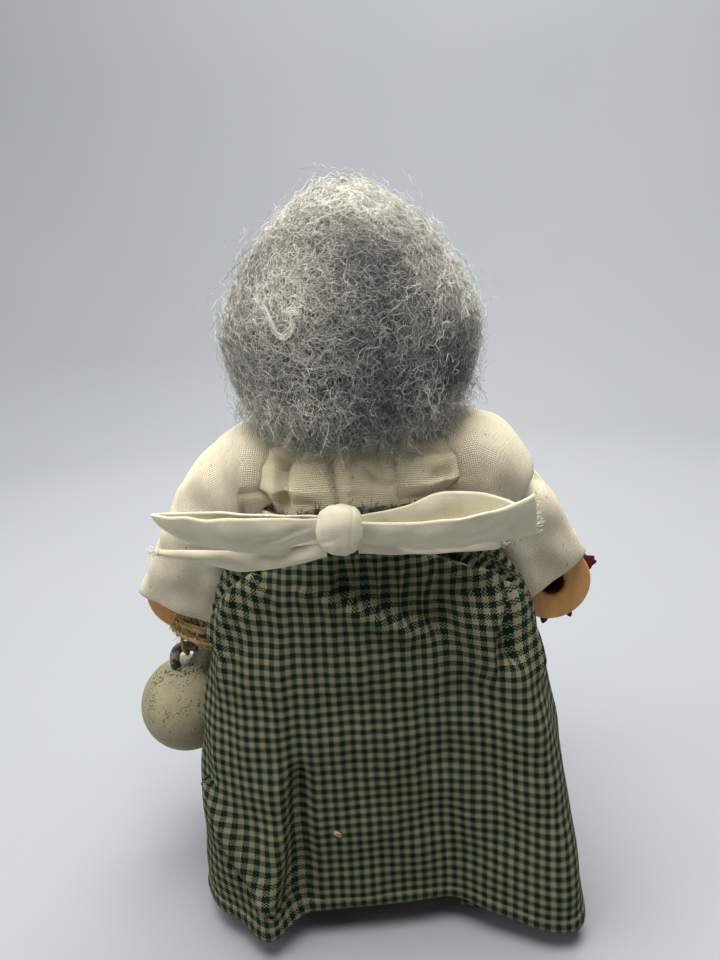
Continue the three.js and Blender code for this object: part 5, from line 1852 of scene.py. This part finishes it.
@dataclass
class Bow:
    """Cotton sash with its bow at the back: knot, two loops and two tails."""

    sash_height: float = 131.5
    sash_width: float = 9.0
    sash_outside: float = 1.9
    cloth: float = 0.7
    knot_middle: Point = (6.2, 39.3, 135.0)
    knot_size: Point = (12.4, 9.0, 13.8)
    knot_power: float = 0.82
    rows: int = 15
    columns: int = 90
    stitch_pitch: float = 1.9
    stitch_length: float = 1.1
    fray_threads: int = 46
    sash_rows: int = 11
    sash_columns: int = 240

    @staticmethod
    def ride_along(piece: Piece, finish: Finish, node: str = "") -> Piece:
        """Finishes a piece of the bow, which rides on the body."""
        return Workshop.finish(piece, "cream_cotton", Body.DOLL, finish.material(), node=node)

    def ribbon(self, name: str, node: str, upper: Line, lower: Line, bulge: float, seed: int,
               creases: tuple[Fold, ...] = (), sewn: Line = (), cut_end: bool = False) -> None:
        """Makes a band of cotton between two edges.

        Args:
            name: Name of the piece.
            node: CAD node that it stands for, or nothing.
            upper: Points of its upper edge in millimetres.
            lower: Points of its lower edge in millimetres.
            bulge: How far the band's middle stands out, in millimetres, below 0 where it runs to the left.
            seed: Chooses its small waves.
            creases: Folds on its outer face.
            sewn: Two places, along and across as shares, between which it is stitched.
            cut_end: Whether its first end is cut and frayed.
        """
        top = spline(upper, self.columns)
        bottom = spline(lower, self.columns)
        share = np.linspace(0.0, 1.0, self.rows)[:, None, None]
        points = (bottom[None] * (1 - share) + top[None] * share) * MM
        normals = Workshop.grid_normals(points, False) * math.copysign(1.0, bulge)
        outer = smoothstep(38.0, 42.0, points[..., 1] / MM) if bulge < 0.0 else 1.0
        lift = abs(bulge) * np.sin(np.pi * share[..., 0] ** 0.85) * MM
        lift = lift + sum(crease.relief(points) for crease in creases)
        waves = 0.3 * MM * ripples(points, 9.0 * MM, seed)
        points = points + normals * (lift * outer + waves)[..., None]
        uv = Workshop.places(points)
        band = Workshop.sheet(name, points, uv, self.cloth * MM)
        self.ride_along(band, SmoothCotton(), node)
        trims = []
        if sewn:
            trims.append(self.add_stitches(f"{name}_stitches", points, normals, sewn))
        if cut_end:
            trims.append(self.add_fray(f"{name}_fray", points))
        length = float(uv[self.rows // 2, -1, 0])
        flat_width = max(float(uv[-1, :, 1].max()), SHORTEST_FLAT_SIDE)
        Workshop.declare(band, points, (flat_width, length), "folded", "waist_band", trims)

    def add_stitches(self, name: str, points: Array, normals: Array, sewn: Line) -> Piece:
        """Sews a row of short stitches on a band.

        Args:
            name: Name of the stitches.
            points: Grid of the band.
            normals: Its outward normals.
            sewn: The row's ends, along and across the band as shares.

        Returns:
            The stitches.
        """
        chance = np.random.default_rng(56)
        share = np.linspace(0.0, 1.0, 120)[:, None]
        place = np.array(sewn[0]) * (1 - share) + np.array(sewn[1]) * share
        column, row = np.round(place * (self.columns - 1, self.rows - 1)).astype(int).T
        line = points[row, column] + normals[row, column] * (self.cloth / 2 + 0.05) * MM
        length = Workshop.line_length(line)
        starts = np.arange(0.0, length[-1] - 1.2 * MM, self.stitch_pitch * MM)
        share = np.linspace(0.0, self.stitch_length * MM, 5)
        places = starts[:, None] + share + chance.normal(0.0, 0.1 * MM, (len(starts), 1))
        smooth = np.stack([np.convolve(np.pad(line[:, axis], 6, mode="edge"), np.ones(13) / 13, "valid")
                           for axis in range(3)], axis=-1)
        paths = picked(smooth, length, places)
        return self.add_threads(name, paths, 0.12, chance.uniform(0.0, 0.5, len(starts)))

    def add_fray(self, name: str, points: Array) -> Piece:
        """Lets threads stand out of a band's cut end.

        Args:
            name: Name of the threads.
            points: Grid of the band, its cut end first.

        Returns:
            The threads.
        """
        chance = np.random.default_rng(57)
        count = self.fray_threads
        row = chance.integers(0, self.rows, count)
        root = points[row, 0][:, None]
        ahead = unit(root - points[row, 3][:, None])
        share = np.linspace(-0.2, 1.0, 6)[None, :, None]
        reach = chance.uniform(0.4, 2.6, (count, 1, 1)) * MM
        bend = chance.normal(0.0, 0.6, (count, 1, 3)) * MM
        paths = root + ahead * reach * share + bend * np.clip(share, 0.0, 1.0) ** 2
        return self.add_threads(name, paths, 0.08, chance.uniform(0.5, 1.0, count))

    def add_threads(self, name: str, paths: Array, radius: float, tones: Array) -> Piece:
        """Makes cotton threads that ride with the bow.

        Args:
            name: Name of the threads.
            paths: Their paths in metres.
            radius: Their radius in millimetres.
            tones: Shade of each thread.

        Returns:
            The threads.
        """
        threads = Workshop.tubes(name, paths, np.full(paths.shape[:2], radius * MM), 5, tones)
        return self.ride_along(threads, Fibre("cotton_thread", paint(170, 154, 120), paint(240, 234, 216)))

    def build(self) -> None:
        """Builds the sash, the loops, the tails and the knot."""
        self.add_sash()
        self.ribbon(
            "loop_left", "bow_loop_left",
            ((11.0, 39.5, 138.6), (26.6, 42.8, 140.6), (42.2, 43.6, 142.0), (52.8, 41.8, 143.0),
             (55.0, 39.4, 142.6), (52.6, 38.4, 142.2), (41.0, 39.6, 142.0), (27.0, 41.6, 140.9),
             (11.0, 38.6, 138.8)),
            ((11.0, 38.8, 133.4), (25.0, 39.2, 130.6), (36.0, 39.6, 131.8), (46.0, 39.4, 134.4),
             (51.4, 39.4, 138.4), (49.6, 38.2, 137.0), (39.0, 38.2, 133.6), (26.0, 39.0, 131.6),
             (11.0, 38.4, 133.4)),
            -1.5, 51,
            creases=(Fold(((31.0, 131.8), (22.0, 133.4), (13.0, 135.8)), 1.2, 1.2, 1.6),
                     Fold(((30.0, 133.6), (22.0, 135.2), (13.4, 137.2)), -1.1, 1.0, 1.0)),
            sewn=((0.06, 0.62), (0.34, 0.5)))
        self.ribbon(
            "loop_right", "bow_loop_right",
            ((-44.4, 43.2, 142.8), (-40.0, 43.8, 141.2), (-33.0, 44.4, 139.2), (-17.4, 43.8, 137.2),
             (1.6, 40.2, 137.4)),
            ((-46.2, 38.4, 130.6), (-40.5, 38.4, 129.8), (-33.0, 38.4, 129.0), (-17.0, 38.6, 128.2),
             (1.6, 38.6, 131.0)),
            -1.0, 52, sewn=((0.02, 0.36), (0.18, 0.14)), cut_end=True)
        self.ribbon(
            "loop_right_inside", "",
            ((1.6, 38.0, 138.0), (-11.0, 36.8, 139.6), (-21.0, 36.6, 142.8), (-31.0, 37.6, 142.6),
             (-37.4, 40.4, 141.0), (-39.4, 43.0, 140.4)),
            ((1.6, 38.0, 131.4), (-11.0, 37.0, 130.8), (-21.0, 37.0, 131.2), (-31.0, 38.0, 131.0),
             (-37.4, 39.6, 130.8), (-39.4, 41.0, 130.8)),
            0.4, 58)
        self.ribbon(
            "tail_left", "bow_tail_left",
            ((55.9, 36.0, 131.4), (42.8, 37.2, 130.8), (34.7, 37.8, 130.5), (24.0, 38.2, 130.4),
             (10.0, 39.4, 131.6)),
            ((55.8, 36.2, 129.6), (44.2, 37.8, 127.2), (33.8, 38.4, 124.4), (23.0, 38.6, 125.0),
             (10.0, 39.4, 127.6)),
            0.9, 53, cut_end=True)
        self.ribbon(
            "tail_right", "bow_tail_right",
            ((-37.0, 36.0, 129.6), (-33.0, 36.4, 130.0), (-17.5, 37.2, 130.6), (1.6, 38.0, 131.6)),
            ((-36.8, 36.2, 126.2), (-33.0, 36.4, 125.9), (-17.5, 37.0, 125.9), (1.6, 38.0, 127.6)),
            -0.6, 54, cut_end=True)
        self.add_knot()

    def add_sash(self) -> None:
        """Wraps the sash round the waist."""
        bearing = np.linspace(0.0, FULL_TURN, self.sash_columns + 1)[None, :] - math.pi / 2
        rise = np.linspace(-0.5, 0.5, self.sash_rows)[:, None]
        radius = section_radius(bearing, *WAIST) + self.sash_outside - 1.6 * rise ** 2
        height = self.sash_height + self.sash_width * rise
        points = polar(radius, bearing, height) * MM
        normals = Workshop.grid_normals(points, True)
        points = points + normals * (0.2 * MM * ripples(points, 8.0 * MM, 55))[..., None]
        uv = Workshop.places(points)
        sash = Workshop.sheet("waist_band", points, uv, self.cloth * MM, closed=True)
        self.ride_along(sash, SmoothCotton(), "waist_sash")
        length = float(uv[self.sash_rows // 2, -1, 0])
        width = float(uv[-1, :, 1].max())
        flat = (max(width, SHORTEST_FLAT_SIDE), length)
        Workshop.declare(sash, points, flat, "stretched", "skirt_cloth", area=width * length)

    def add_knot(self) -> None:
        """Ties the knot: a padded wrap with slanting folds."""
        tilt = np.linspace(-math.pi / 2, math.pi / 2, 60)[:, None]
        bearing = np.linspace(0.0, FULL_TURN, 121)[None, :]
        direction = polar(np.cos(tilt), bearing, np.sin(tilt))
        shape = np.sign(direction) * np.abs(direction) ** self.knot_power
        slant = shape[..., 2] * 0.9 + shape[..., 0] * 0.25
        upright = shape[..., 0] + 0.12 * shape[..., 2]
        folds = (0.5 * np.exp(-((slant - 0.35) / 0.4) ** 2) - 0.55 * np.exp(-((slant + 0.12) / 0.08) ** 2)
                 * smoothstep(-0.1, 0.3, shape[..., 0]) - 0.4 * np.exp(-((upright + 0.5) / 0.05) ** 2)
                 + 0.2 * np.exp(-((upright + 0.72) / 0.14) ** 2))
        size = np.array(self.knot_size) / 2.0
        wrinkles = 0.35 * ripples(shape * size * MM * np.array([1.0, 1.0, 0.5]), 4.0 * MM, 59)
        points = np.array(self.knot_middle) + shape * size * (1.0 + 0.07 * (folds + wrinkles)[..., None])
        uv = np.stack(np.broadcast_arrays(bearing * 6.0 * MM, tilt * 6.0 * MM), axis=-1)
        knot = Workshop.sheet("knot", points * MM, uv, 0.0, closed=True)
        self.ride_along(knot, SmoothCotton(), "bow_knot")


@dataclass
class Arm:
    """A puffed sleeve over its stuffing, and the drilled disc hand."""

    side: Side
    outer: Line
    inner: Line
    hand: Point
    folds: tuple[Fold, ...]
    seed: int
    stations: tuple[float, ...] = (0.0, 0.12, 0.28, 0.46, 0.64, 0.83, 1.0)
    front_depths: tuple[float, ...] = (15.5, 17.5, 18.5, 18.0, 16.0, 11.5, 8.0)
    back_depths: tuple[float, ...] = (23.0, 23.0, 21.5, 19.0, 16.0, 11.5, 8.0)
    seam_height: float = 144.8
    seam_share: tuple[float, float] = (0.96, 0.86)
    wadding_inset: float = 4.5
    forward: float = -6.0
    square_start: float = 2.7
    square_end: float = 3.4
    cloth: float = 0.7
    rows: int = 92
    columns: int = 168
    hand_round: float = 0.9
    shoulder_height: float = 144.0

    def rings(self, count: int, inset: float, columns: int) -> Array:
        """Sections of the sleeve from the shoulder to the cuff.

        Args:
            count: Number of sections.
            inset: How far inside the outer face, in millimetres.
            columns: Number of steps round a section.

        Returns:
            Sections by points by 3, in metres.
        """
        outer = spline(self.outer, count)
        inner = spline(self.inner, count)
        station = np.linspace(0.0, 1.0, count)
        front, back = (np.interp(station, self.stations, depths)[:, None] - inset
                       for depths in (self.front_depths, self.back_depths))
        power = self.square_start + (self.square_end - self.square_start) * smoothstep(0.5, 1.0, station)
        angle = np.linspace(0.0, FULL_TURN, columns + 1)
        middle = (outer + inner) / 2.0
        arm = (outer - inner) / 2.0
        arm = arm * (1.0 - inset / np.linalg.norm(arm, axis=1, keepdims=True))
        exponent = 2.0 / power[:, None]
        across, along = (np.sign(wave) * np.abs(wave) ** exponent for wave in (np.cos(angle), np.sin(angle)))
        flat = middle[:, None] + arm[:, None] * across[..., None]
        deep = self.forward * station[:, None] + np.where(along > 0.0, back, front) * along
        points = np.stack([flat[..., 0], deep, flat[..., 1]], axis=-1)
        points[..., 0] *= self.side.value
        return points * MM

    def build(self) -> None:
        """Builds the sleeve, its stuffing and the hand."""
        points = self.rings(self.rows, 0.0, self.columns)
        if self.side is Side.LEFT:
            points = points[:, ::-1]
        normals = Workshop.grid_normals(points, True)
        share = np.linspace(0.0, 1.0, self.rows)[:, None]
        lift = 0.55 * MM * ripples(points, 15.0 * MM, self.seed) * smoothstep(0.02, 0.2, share)
        for fold in self.folds:
            lift = lift + fold.relief(points)
        points = points + normals * lift[..., None]
        points = np.concatenate([self.armhole_rows(points[0]), points], axis=0)
        uv = Workshop.places(points)
        sleeve = Workshop.sheet(f"sleeve_{self.side.word}_cloth", points, uv, self.cloth * MM, closed=True)
        muslin = Muslin("sleeve_weave", paint(250, 241, 216), paint(182, 158, 116), warp=1560.0, weft=1560.0)
        Workshop.finish(sleeve, "sleeve_muslin", None, muslin.material(), node=f"sleeve_{self.side.word}")
        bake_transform(sleeve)
        flat = (float(uv[..., 0].max()), float(uv[..., 1].max()))
        Workshop.declare(sleeve, points, flat, "gathered", f"arm_wadding_{self.side.word}")
        self.add_wadding()
        self.add_hand()

    def armhole_rows(self, first: Array) -> Array:
        """Carries the sleeve in to its seam on the blouse.

        Args:
            first: First section of the sleeve.

        Returns:
            Rows before that section, from the seam outwards.
        """
        middle = (first[:, 2].max() + first[:, 2].min()) / 2.0
        depth = first[:, 1] * self.seam_share[0] / MM
        height = self.seam_height + (first[:, 2] - middle) * self.seam_share[1] / MM
        half, back, front, power = Blouse().section(height)
        share = np.clip(np.abs(depth) / np.where(depth >= 0.0, back, front), 0.0, 0.96)
        across = half * (1.0 - share ** power) ** (1.0 / power)
        seam = np.stack([self.side.value * (across + 0.3), depth * 1.01, height], axis=-1) * MM
        hidden = np.stack([self.side.value * (across - 1.2), depth * 0.93,
                           self.seam_height + (height - self.seam_height) * 0.95], axis=-1) * MM
        rows = [hidden]
        for step in (0.0, 0.2, 0.42, 0.68):
            outwards = np.array([step, math.sin(step * math.pi / 2), math.sin(step * math.pi / 2)])
            rows.append(seam + (first - seam) * outwards)
        return np.stack(rows)

    def add_wadding(self) -> None:
        """Fills the sleeve with wadding between shoulder and hand."""
        node = f"arm_stuffing_{self.side.word}"
        low, high = (Vector(corner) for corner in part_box(node))
        rings = self.rings(60, self.wadding_inset, 72)
        near, far = sorted((abs(low.x), abs(high.x)))
        past_seam = np.abs(rings[:, :, 0]).min(axis=1) >= near
        rings = rings[past_seam & (rings[:, :, 2].max(axis=1) > low.z + 12.0 * MM)]
        rings[..., 2] = np.clip(rings[..., 2], low.z, high.z)
        rings[..., 0] = self.side.value * np.clip(np.abs(rings[..., 0]), near, far)
        first, last = (np.broadcast_to(ring.mean(axis=1, keepdims=True), ring.shape)
                       for ring in (rings[:1], rings[-1:]))
        points = np.concatenate([first, rings, last], axis=0)
        if self.side is Side.LEFT:
            points = points[:, ::-1]
        wadding = Workshop.sheet(f"arm_wadding_{self.side.word}", points,
                                 np.zeros(points.shape[:2] + (2,)), 0.0, closed=True)
        Workshop.finish(wadding, "stuffing", self.side.arm, Wadding().material(), node=node)

    def add_hand(self) -> None:
        """Turns the disc hand with its hole and rounded edges."""
        half = HAND_THICKNESS / 2.0
        soft = self.hand_round
        corners = [(HAND_HOLE, -half), (HAND_RADIUS, -half), (HAND_RADIUS, half), (HAND_HOLE, half)]
        turns = [math.pi, -math.pi / 2, 0.0, math.pi / 2]
        profile = []
        for (radius, height), turn in zip(corners, turns):
            centre = (radius + (soft if radius == HAND_HOLE else -soft),
                      height - math.copysign(soft, height))
            for angle in np.linspace(turn, turn + math.pi / 2, 5):
                profile.append(((centre[0] + soft * math.cos(angle)) * MM,
                                (centre[1] + soft * math.sin(angle)) * MM))
        profile.append(profile[0])
        hand = Workshop.turned(f"hand_{self.side.word}_disc", profile, 96)
        place = Vector(self.hand) * MM
        Workshop.place(hand, Matrix.Translation(place) @ Matrix.Rotation(math.pi / 2, 4, "X"))
        wood = HandWood(f"hand_paint_{self.side.word}", tuple(place)).material()
        Workshop.finish(hand, "painted_wood", self.side.arm, wood, node=f"hand_{self.side.word}")


@dataclass
class HangingJug:
    """Round stoneware jug with an ear, and the twine that ties it to the left hand."""

    hang_point: Point = (63.2, -6.0, 80.8)
    ear_hang: float = 7.0
    lean: float = -22.0
    swivel: float = 25.0
    ball_radius: float = 16.5
    foot_radius: float = 8.0
    neck_radius: float = 3.8
    lip_radius: float = 4.3
    bore_radius: float = 2.4
    height: float = 26.0
    ear_radius: float = 1.7
    ear_reach: float = 10.2
    ear_foot: float = 7.4
    ear_top: float = 22.8
    yarn: float = 0.62
    plies: int = 3
    wraps: int = 5
    wrap_middle: Point = (57.6, -6.0, 91.0)
    wrap_size: tuple[float, float] = (8.2, 6.4)
    wrap_pitch: float = 1.15
    lay: float = 5.2
    twine_points: int = 90
    fuzz_hairs: int = 1500
    layers: tuple[tuple[int, float, float, float], ...] = (
        (8, -52.0, 26.0, 0.0), (7, -46.0, 16.0, 1.5), (6, -40.0, 6.0, 2.4), (4, -36.0, -14.0, 3.0))

    def matrix(self) -> Matrix:
        """Places the jug's own frame: its ball's centre at the origin and its neck up.

        Returns:
            The matrix from the jug's frame to the doll's, in metres.
        """
        turn = (Matrix.Rotation(math.radians(self.lean), 4, "Y")
                @ Matrix.Rotation(math.radians(self.swivel), 4, "Z"))
        hang = Vector(self.hang_point) - turn @ Vector((self.ear_hang, 0.0, self.ear_top))
        return Matrix.Translation(hang * MM) @ turn

    def build(self) -> None:
        """Builds the jug and the twine."""
        self.add_jug()
        self.add_twine()

    def add_jug(self) -> None:
        """Throws the jug and sets its ear."""
        foot = -math.acos(self.foot_radius / self.ball_radius)
        neck = math.acos(self.neck_radius / self.ball_radius)
        ball = [(self.ball_radius * math.cos(angle), self.ball_radius * math.sin(angle))
                for angle in np.linspace(foot, neck - 0.06, 40)]
        rise = ball[-1][1]
        throat = [(self.neck_radius + 0.35, rise + 0.9), (self.neck_radius, rise + 2.4),
                  (self.neck_radius, self.height - 2.6), (self.lip_radius, self.height - 1.7),
                  (self.lip_radius, self.height - 0.6), (self.lip_radius - 0.5, self.height),
                  (self.bore_radius + 0.4, self.height), (self.bore_radius, self.height - 0.6),
                  (self.bore_radius, rise)]
        rim, sole = ball[0]
        foot_ring = [(0.0, sole + 0.7), (rim - 1.4, sole + 0.4), (rim - 0.5, sole)]
        profile = [*foot_ring, *ball, *throat, (0.0, rise)]
        jug = Workshop.turned("jug_body", [(radius * MM, height * MM) for radius, height in profile], 96)
        low = math.sqrt(self.ball_radius ** 2 - self.ear_foot ** 2) - self.ear_radius
        bend = (2.0 * self.ear_reach + self.ear_foot) / 3.0
        line = [(reach, 0.0, self.ear_top + (low - self.ear_top) * share)
                for reach, share in ((self.neck_radius - self.ear_radius / 2, 0.04), (self.ear_hang, 0.0),
                                     (self.ear_reach - self.ear_radius / 3, 0.15), (self.ear_reach, 0.4),
                                     (bend, 0.74), (self.ear_foot, 1.0))]
        path = spline(line, 40)[None] * MM
        radii = np.full(path.shape[:2], self.ear_radius * MM)
        ear = Workshop.tubes("jug_ear", path, radii, 16, np.array([0.5]))
        place = self.matrix()
        up = tuple(place.to_3x3() @ Vector((0.0, 0.0, 1.0)))
        for piece, blotched, node in ((jug, 0.0, "jug"), (ear, 0.2, "")):
            Workshop.place(piece, place)
            clay = Stoneware(f"stoneware_{piece.name}", tuple(place.translation), up, blotched).material()
            Workshop.finish(piece, "speckled_stoneware", Body.JUG, clay, node=node)

    def loop_path(self, rim_bearing: float, slack: float, count: int) -> Array:
        """One turn of twine through the hand's hole and round its rim.

        Args:
            rim_bearing: Bearing at the rim from straight down, in degrees.
            slack: How far the turn hangs off the rim, in millimetres.
            count: Number of points.

        Returns:
            The points in millimetres.
        """
        reach = self.yarn + 0.35
        near = HAND_HOLE - reach
        far = HAND_RADIUS + reach + slack
        deep = HAND_THICKNESS / 2.0 + reach + 0.35 * slack
        hole, rim = math.radians(1.4 * rim_bearing), math.radians(rim_bearing)
        x, y, z = LEFT_HAND
        legs = []
        half_way, between = (near + far) / 2, (hole + rim) / 2
        for radius, bearing, out in ((near, hole, 0.0), (near + 0.9, hole, 0.8), (half_way, between, 1.0),
                                     (far - 1.0, rim, 0.85), (far, rim, 0.0), (far - 1.0, rim, -0.85),
                                     (half_way, between, -1.0), (near + 0.9, hole, -0.8), (near, hole, 0.0)):
            legs.append((x + radius * math.sin(bearing), y + out * deep, z - radius * math.cos(bearing)))
        return spline(legs, count)

    def add_twine(self) -> None:
        """Winds the twine, ties it to the jug's ear and lets its fibres stand off."""
        chance = np.random.default_rng(61)
        count = self.twine_points
        paths = []
        for turns, first, last, slack in self.layers:
            for bearing in np.linspace(first, last, turns) + chance.normal(0.0, 1.5, turns):
                loop = self.loop_path(bearing, slack + chance.uniform(-0.5, 0.5), count)
                paths.extend(self.twisted(loop, chance))
        for turn in range(self.wraps):
            paths.extend(self.twisted(self.wrap_path(turn, count), chance))
        paths.extend(self.twisted(spline(self.hanger(), count), chance))
        strands = np.stack(paths) * MM
        radii = np.full(strands.shape[:2], self.yarn * 0.58 * MM)
        twine = Workshop.tubes("twine_winding", strands, radii, 6, chance.uniform(0.25, 0.9, len(paths)))
        hairs = self.fuzz_hairs
        owner = chance.integers(0, len(paths), hairs)
        place = chance.integers(5, count - 6, hairs)
        root = strands[owner, place]
        ahead = strands[owner, place + 4] - root
        share = np.linspace(0.0, 1.0, 7)[None, :, None]
        stray = chance.normal(0.0, 1.2, (hairs, 1, 3)) * MM
        reach = share * chance.uniform(0.4, 2.0, (hairs, 1, 1))
        wild = root[:, None] + ahead[:, None] * reach + stray * share ** 1.6
        fuzz = Workshop.tubes("twine_fuzz", wild, np.full(wild.shape[:2], 0.075 * MM), 3,
                              chance.uniform(0.4, 1.0, hairs))
        for piece, node in ((twine, "twine_tie"), (fuzz, "")):
            Workshop.finish(piece, "jute", Body.TWINE, Fibre().material(), node=node)

    def wrap_path(self, turn: int, count: int) -> Array:
        """One turn round the hank, slanting down towards the skirt.

        Args:
            turn: Number of the turn from the top.
            count: Number of points.

        Returns:
            Points in millimetres.
        """
        angle = np.linspace(0.0, FULL_TURN, count) + 0.7 * turn
        swell = 1.0 + 0.12 * math.sin(1.9 * turn)
        across = self.wrap_size[0] * swell * np.cos(angle)
        along = self.wrap_size[1] * swell * np.sin(angle)
        drop = self.wrap_pitch * (turn + angle / FULL_TURN - 0.11 * turn)
        return np.stack([self.wrap_middle[0] + across, self.wrap_middle[1] + along,
                         self.wrap_middle[2] - drop + 0.42 * across], axis=-1)

    def hanger(self) -> Line:
        """The long turn from the hand's rim round the jug's ear, in millimetres."""
        bar = self.matrix() @ (Vector((self.ear_hang, 0.0, self.ear_top)) * MM) / MM
        x, y, z = LEFT_HAND
        rim = z - HAND_RADIUS
        return ((x + 2.0, y + 3.6, z - 4.0), (x + 2.6, y + 4.2, rim + 3.0),
                (bar.x + 0.6, y + 2.9, bar.z + 1.6), (bar.x, y + 1.2, bar.z - 2.6),
                (bar.x, y - 1.4, bar.z - 2.6), (bar.x - 0.6, y - 2.9, bar.z + 1.6),
                (x + 2.2, y - 4.2, rim + 3.0), (x + 1.6, y - 3.6, z - 4.0))

    def twisted(self, line: Array, chance: np.random.Generator) -> list[Array]:
        """Twists plies about a line.

        Args:
            line: Points in millimetres.
            chance: Source of the small differences.

        Returns:
            One path for each ply.
        """
        ahead = unit(np.gradient(line, axis=0))
        first = unit(np.cross(ahead, np.array([0.2, 0.35, 0.91])))
        second = np.cross(ahead, first)
        length = Workshop.line_length(line)
        start = chance.uniform(0.0, FULL_TURN)
        plies = []
        for ply in range(self.plies):
            angle = start + FULL_TURN * (ply / self.plies + length / self.lay)
            wander = 0.1 * np.sin(length * 0.9 + chance.uniform(0.0, FULL_TURN))
            radius = (self.yarn * 0.55 + wander)[:, None]
            plies.append(line + radius * (first * np.cos(angle)[:, None] + second * np.sin(angle)[:, None]))
        return plies


@dataclass
class PinkedCloth:
    """Dark red cloth with a pinked edge, tucked round the right hand's hole."""

    tucked: float = 11.4
    corners: Line = ((166.0, 15.0, 18.2), (241.0, 6.5, 19.6), (271.0, 8.0, 19.4))
    near: float = -9.5
    deep: float = 1.3
    teeth: int = 48
    tooth_depth: float = 0.9
    cloth: float = 0.35
    rows: int = 22
    columns: int = 288

    def build(self) -> None:
        """Builds the cloth behind the hand's disc."""
        angle = np.linspace(0.0, FULL_TURN, self.columns + 1)[None, :]
        share = np.linspace(0.0, 1.0, self.rows)[:, None]
        edge = np.full_like(angle, self.tucked)
        for bearing, spread, reach in self.corners:
            away = np.mod(np.degrees(angle) - bearing + 180.0, 360.0) - 180.0
            edge = edge + (reach - self.tucked) * np.exp(-(away / spread) ** 2)
        teeth = np.abs(np.mod(angle / FULL_TURN * self.teeth, 1.0) - 0.5) * 2.0
        reach = (edge - self.tooth_depth * teeth) * share
        waves = 0.45 * np.sin(angle * 5.0 + 0.7) * share ** 2 + 0.3 * np.sin(angle * 9.0) * share ** 3
        depth = self.near - self.deep * share ** 2 + 0.6 * waves - 0.4
        points = np.stack([RIGHT_HAND[0] + reach * np.cos(angle), np.minimum(depth, self.near),
                           RIGHT_HAND[2] + reach * np.sin(angle)], axis=-1) * MM
        points = points[:, ::-1]
        uv = np.stack([points[..., 0], points[..., 2]], axis=-1)
        cloth = Workshop.sheet("red_cloth", points, uv, self.cloth * MM, closed=True, lining=True)
        materials = (PrintedCotton().material(), SmoothCotton().material())
        Workshop.finish(cloth, "burgundy_cotton", Body.ARM_RIGHT, *materials, node="pinked_cloth")
        width, height = (float(np.ptp(points[..., axis])) for axis in (0, 2))
        Workshop.declare(cloth, points, (width, height), "hung", "hand_right_disc")


LEFT_ARM = Arm(
    side=Side.LEFT,
    outer=((33.9, 159.0), (42.0, 154.8), (55.2, 141.8), (66.2, 122.0), (75.6, 104.0)),
    inner=((33.9, 131.0), (38.2, 117.5), (48.9, 90.4)),
    hand=LEFT_HAND,
    folds=(Fold(((34.6, 143.0), (32.6, 141.0), (31.6, 137.5)), -1.0, 1.3, 1.6),
           Fold(((40.0, 133.0), (47.0, 127.0), (57.0, 122.0)), 0.9, 2.4, 3.0)),
    seed=71)
RIGHT_ARM = Arm(
    side=Side.RIGHT,
    outer=((33.9, 159.4), (44.4, 154.4), (51.6, 146.0), (55.4, 138.0), (62.4, 126.6), (73.2, 108.8)),
    inner=((33.9, 131.0), (39.6, 116.0), (49.6, 90.8)),
    hand=RIGHT_HAND,
    folds=(Fold(((-62.0, 142.0), (-55.0, 137.0), (-46.0, 128.0)), -2.4, 2.6, 3.4),
           Fold(((-63.0, 143.0), (-58.0, 142.0), (-52.0, 139.0)), -1.4, 1.6, 1.6)),
    seed=72)


def main() -> None:
    """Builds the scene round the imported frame."""
    logging.basicConfig(level=logging.INFO, format="%(message)s")
    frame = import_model()
    nodes = {name: bpy.data.objects[name] for name in frame["nodes"]}
    Studio().build()
    HangingJug().build()
    WoodenFrame().build(nodes)
    Wig().build()
    Blouse().build()
    Skirt().build()
    Bow().build()
    for arm in (LEFT_ARM, RIGHT_ARM):
        arm.build()
    PinkedCloth().build()


if __name__ == "__main__":
    main()
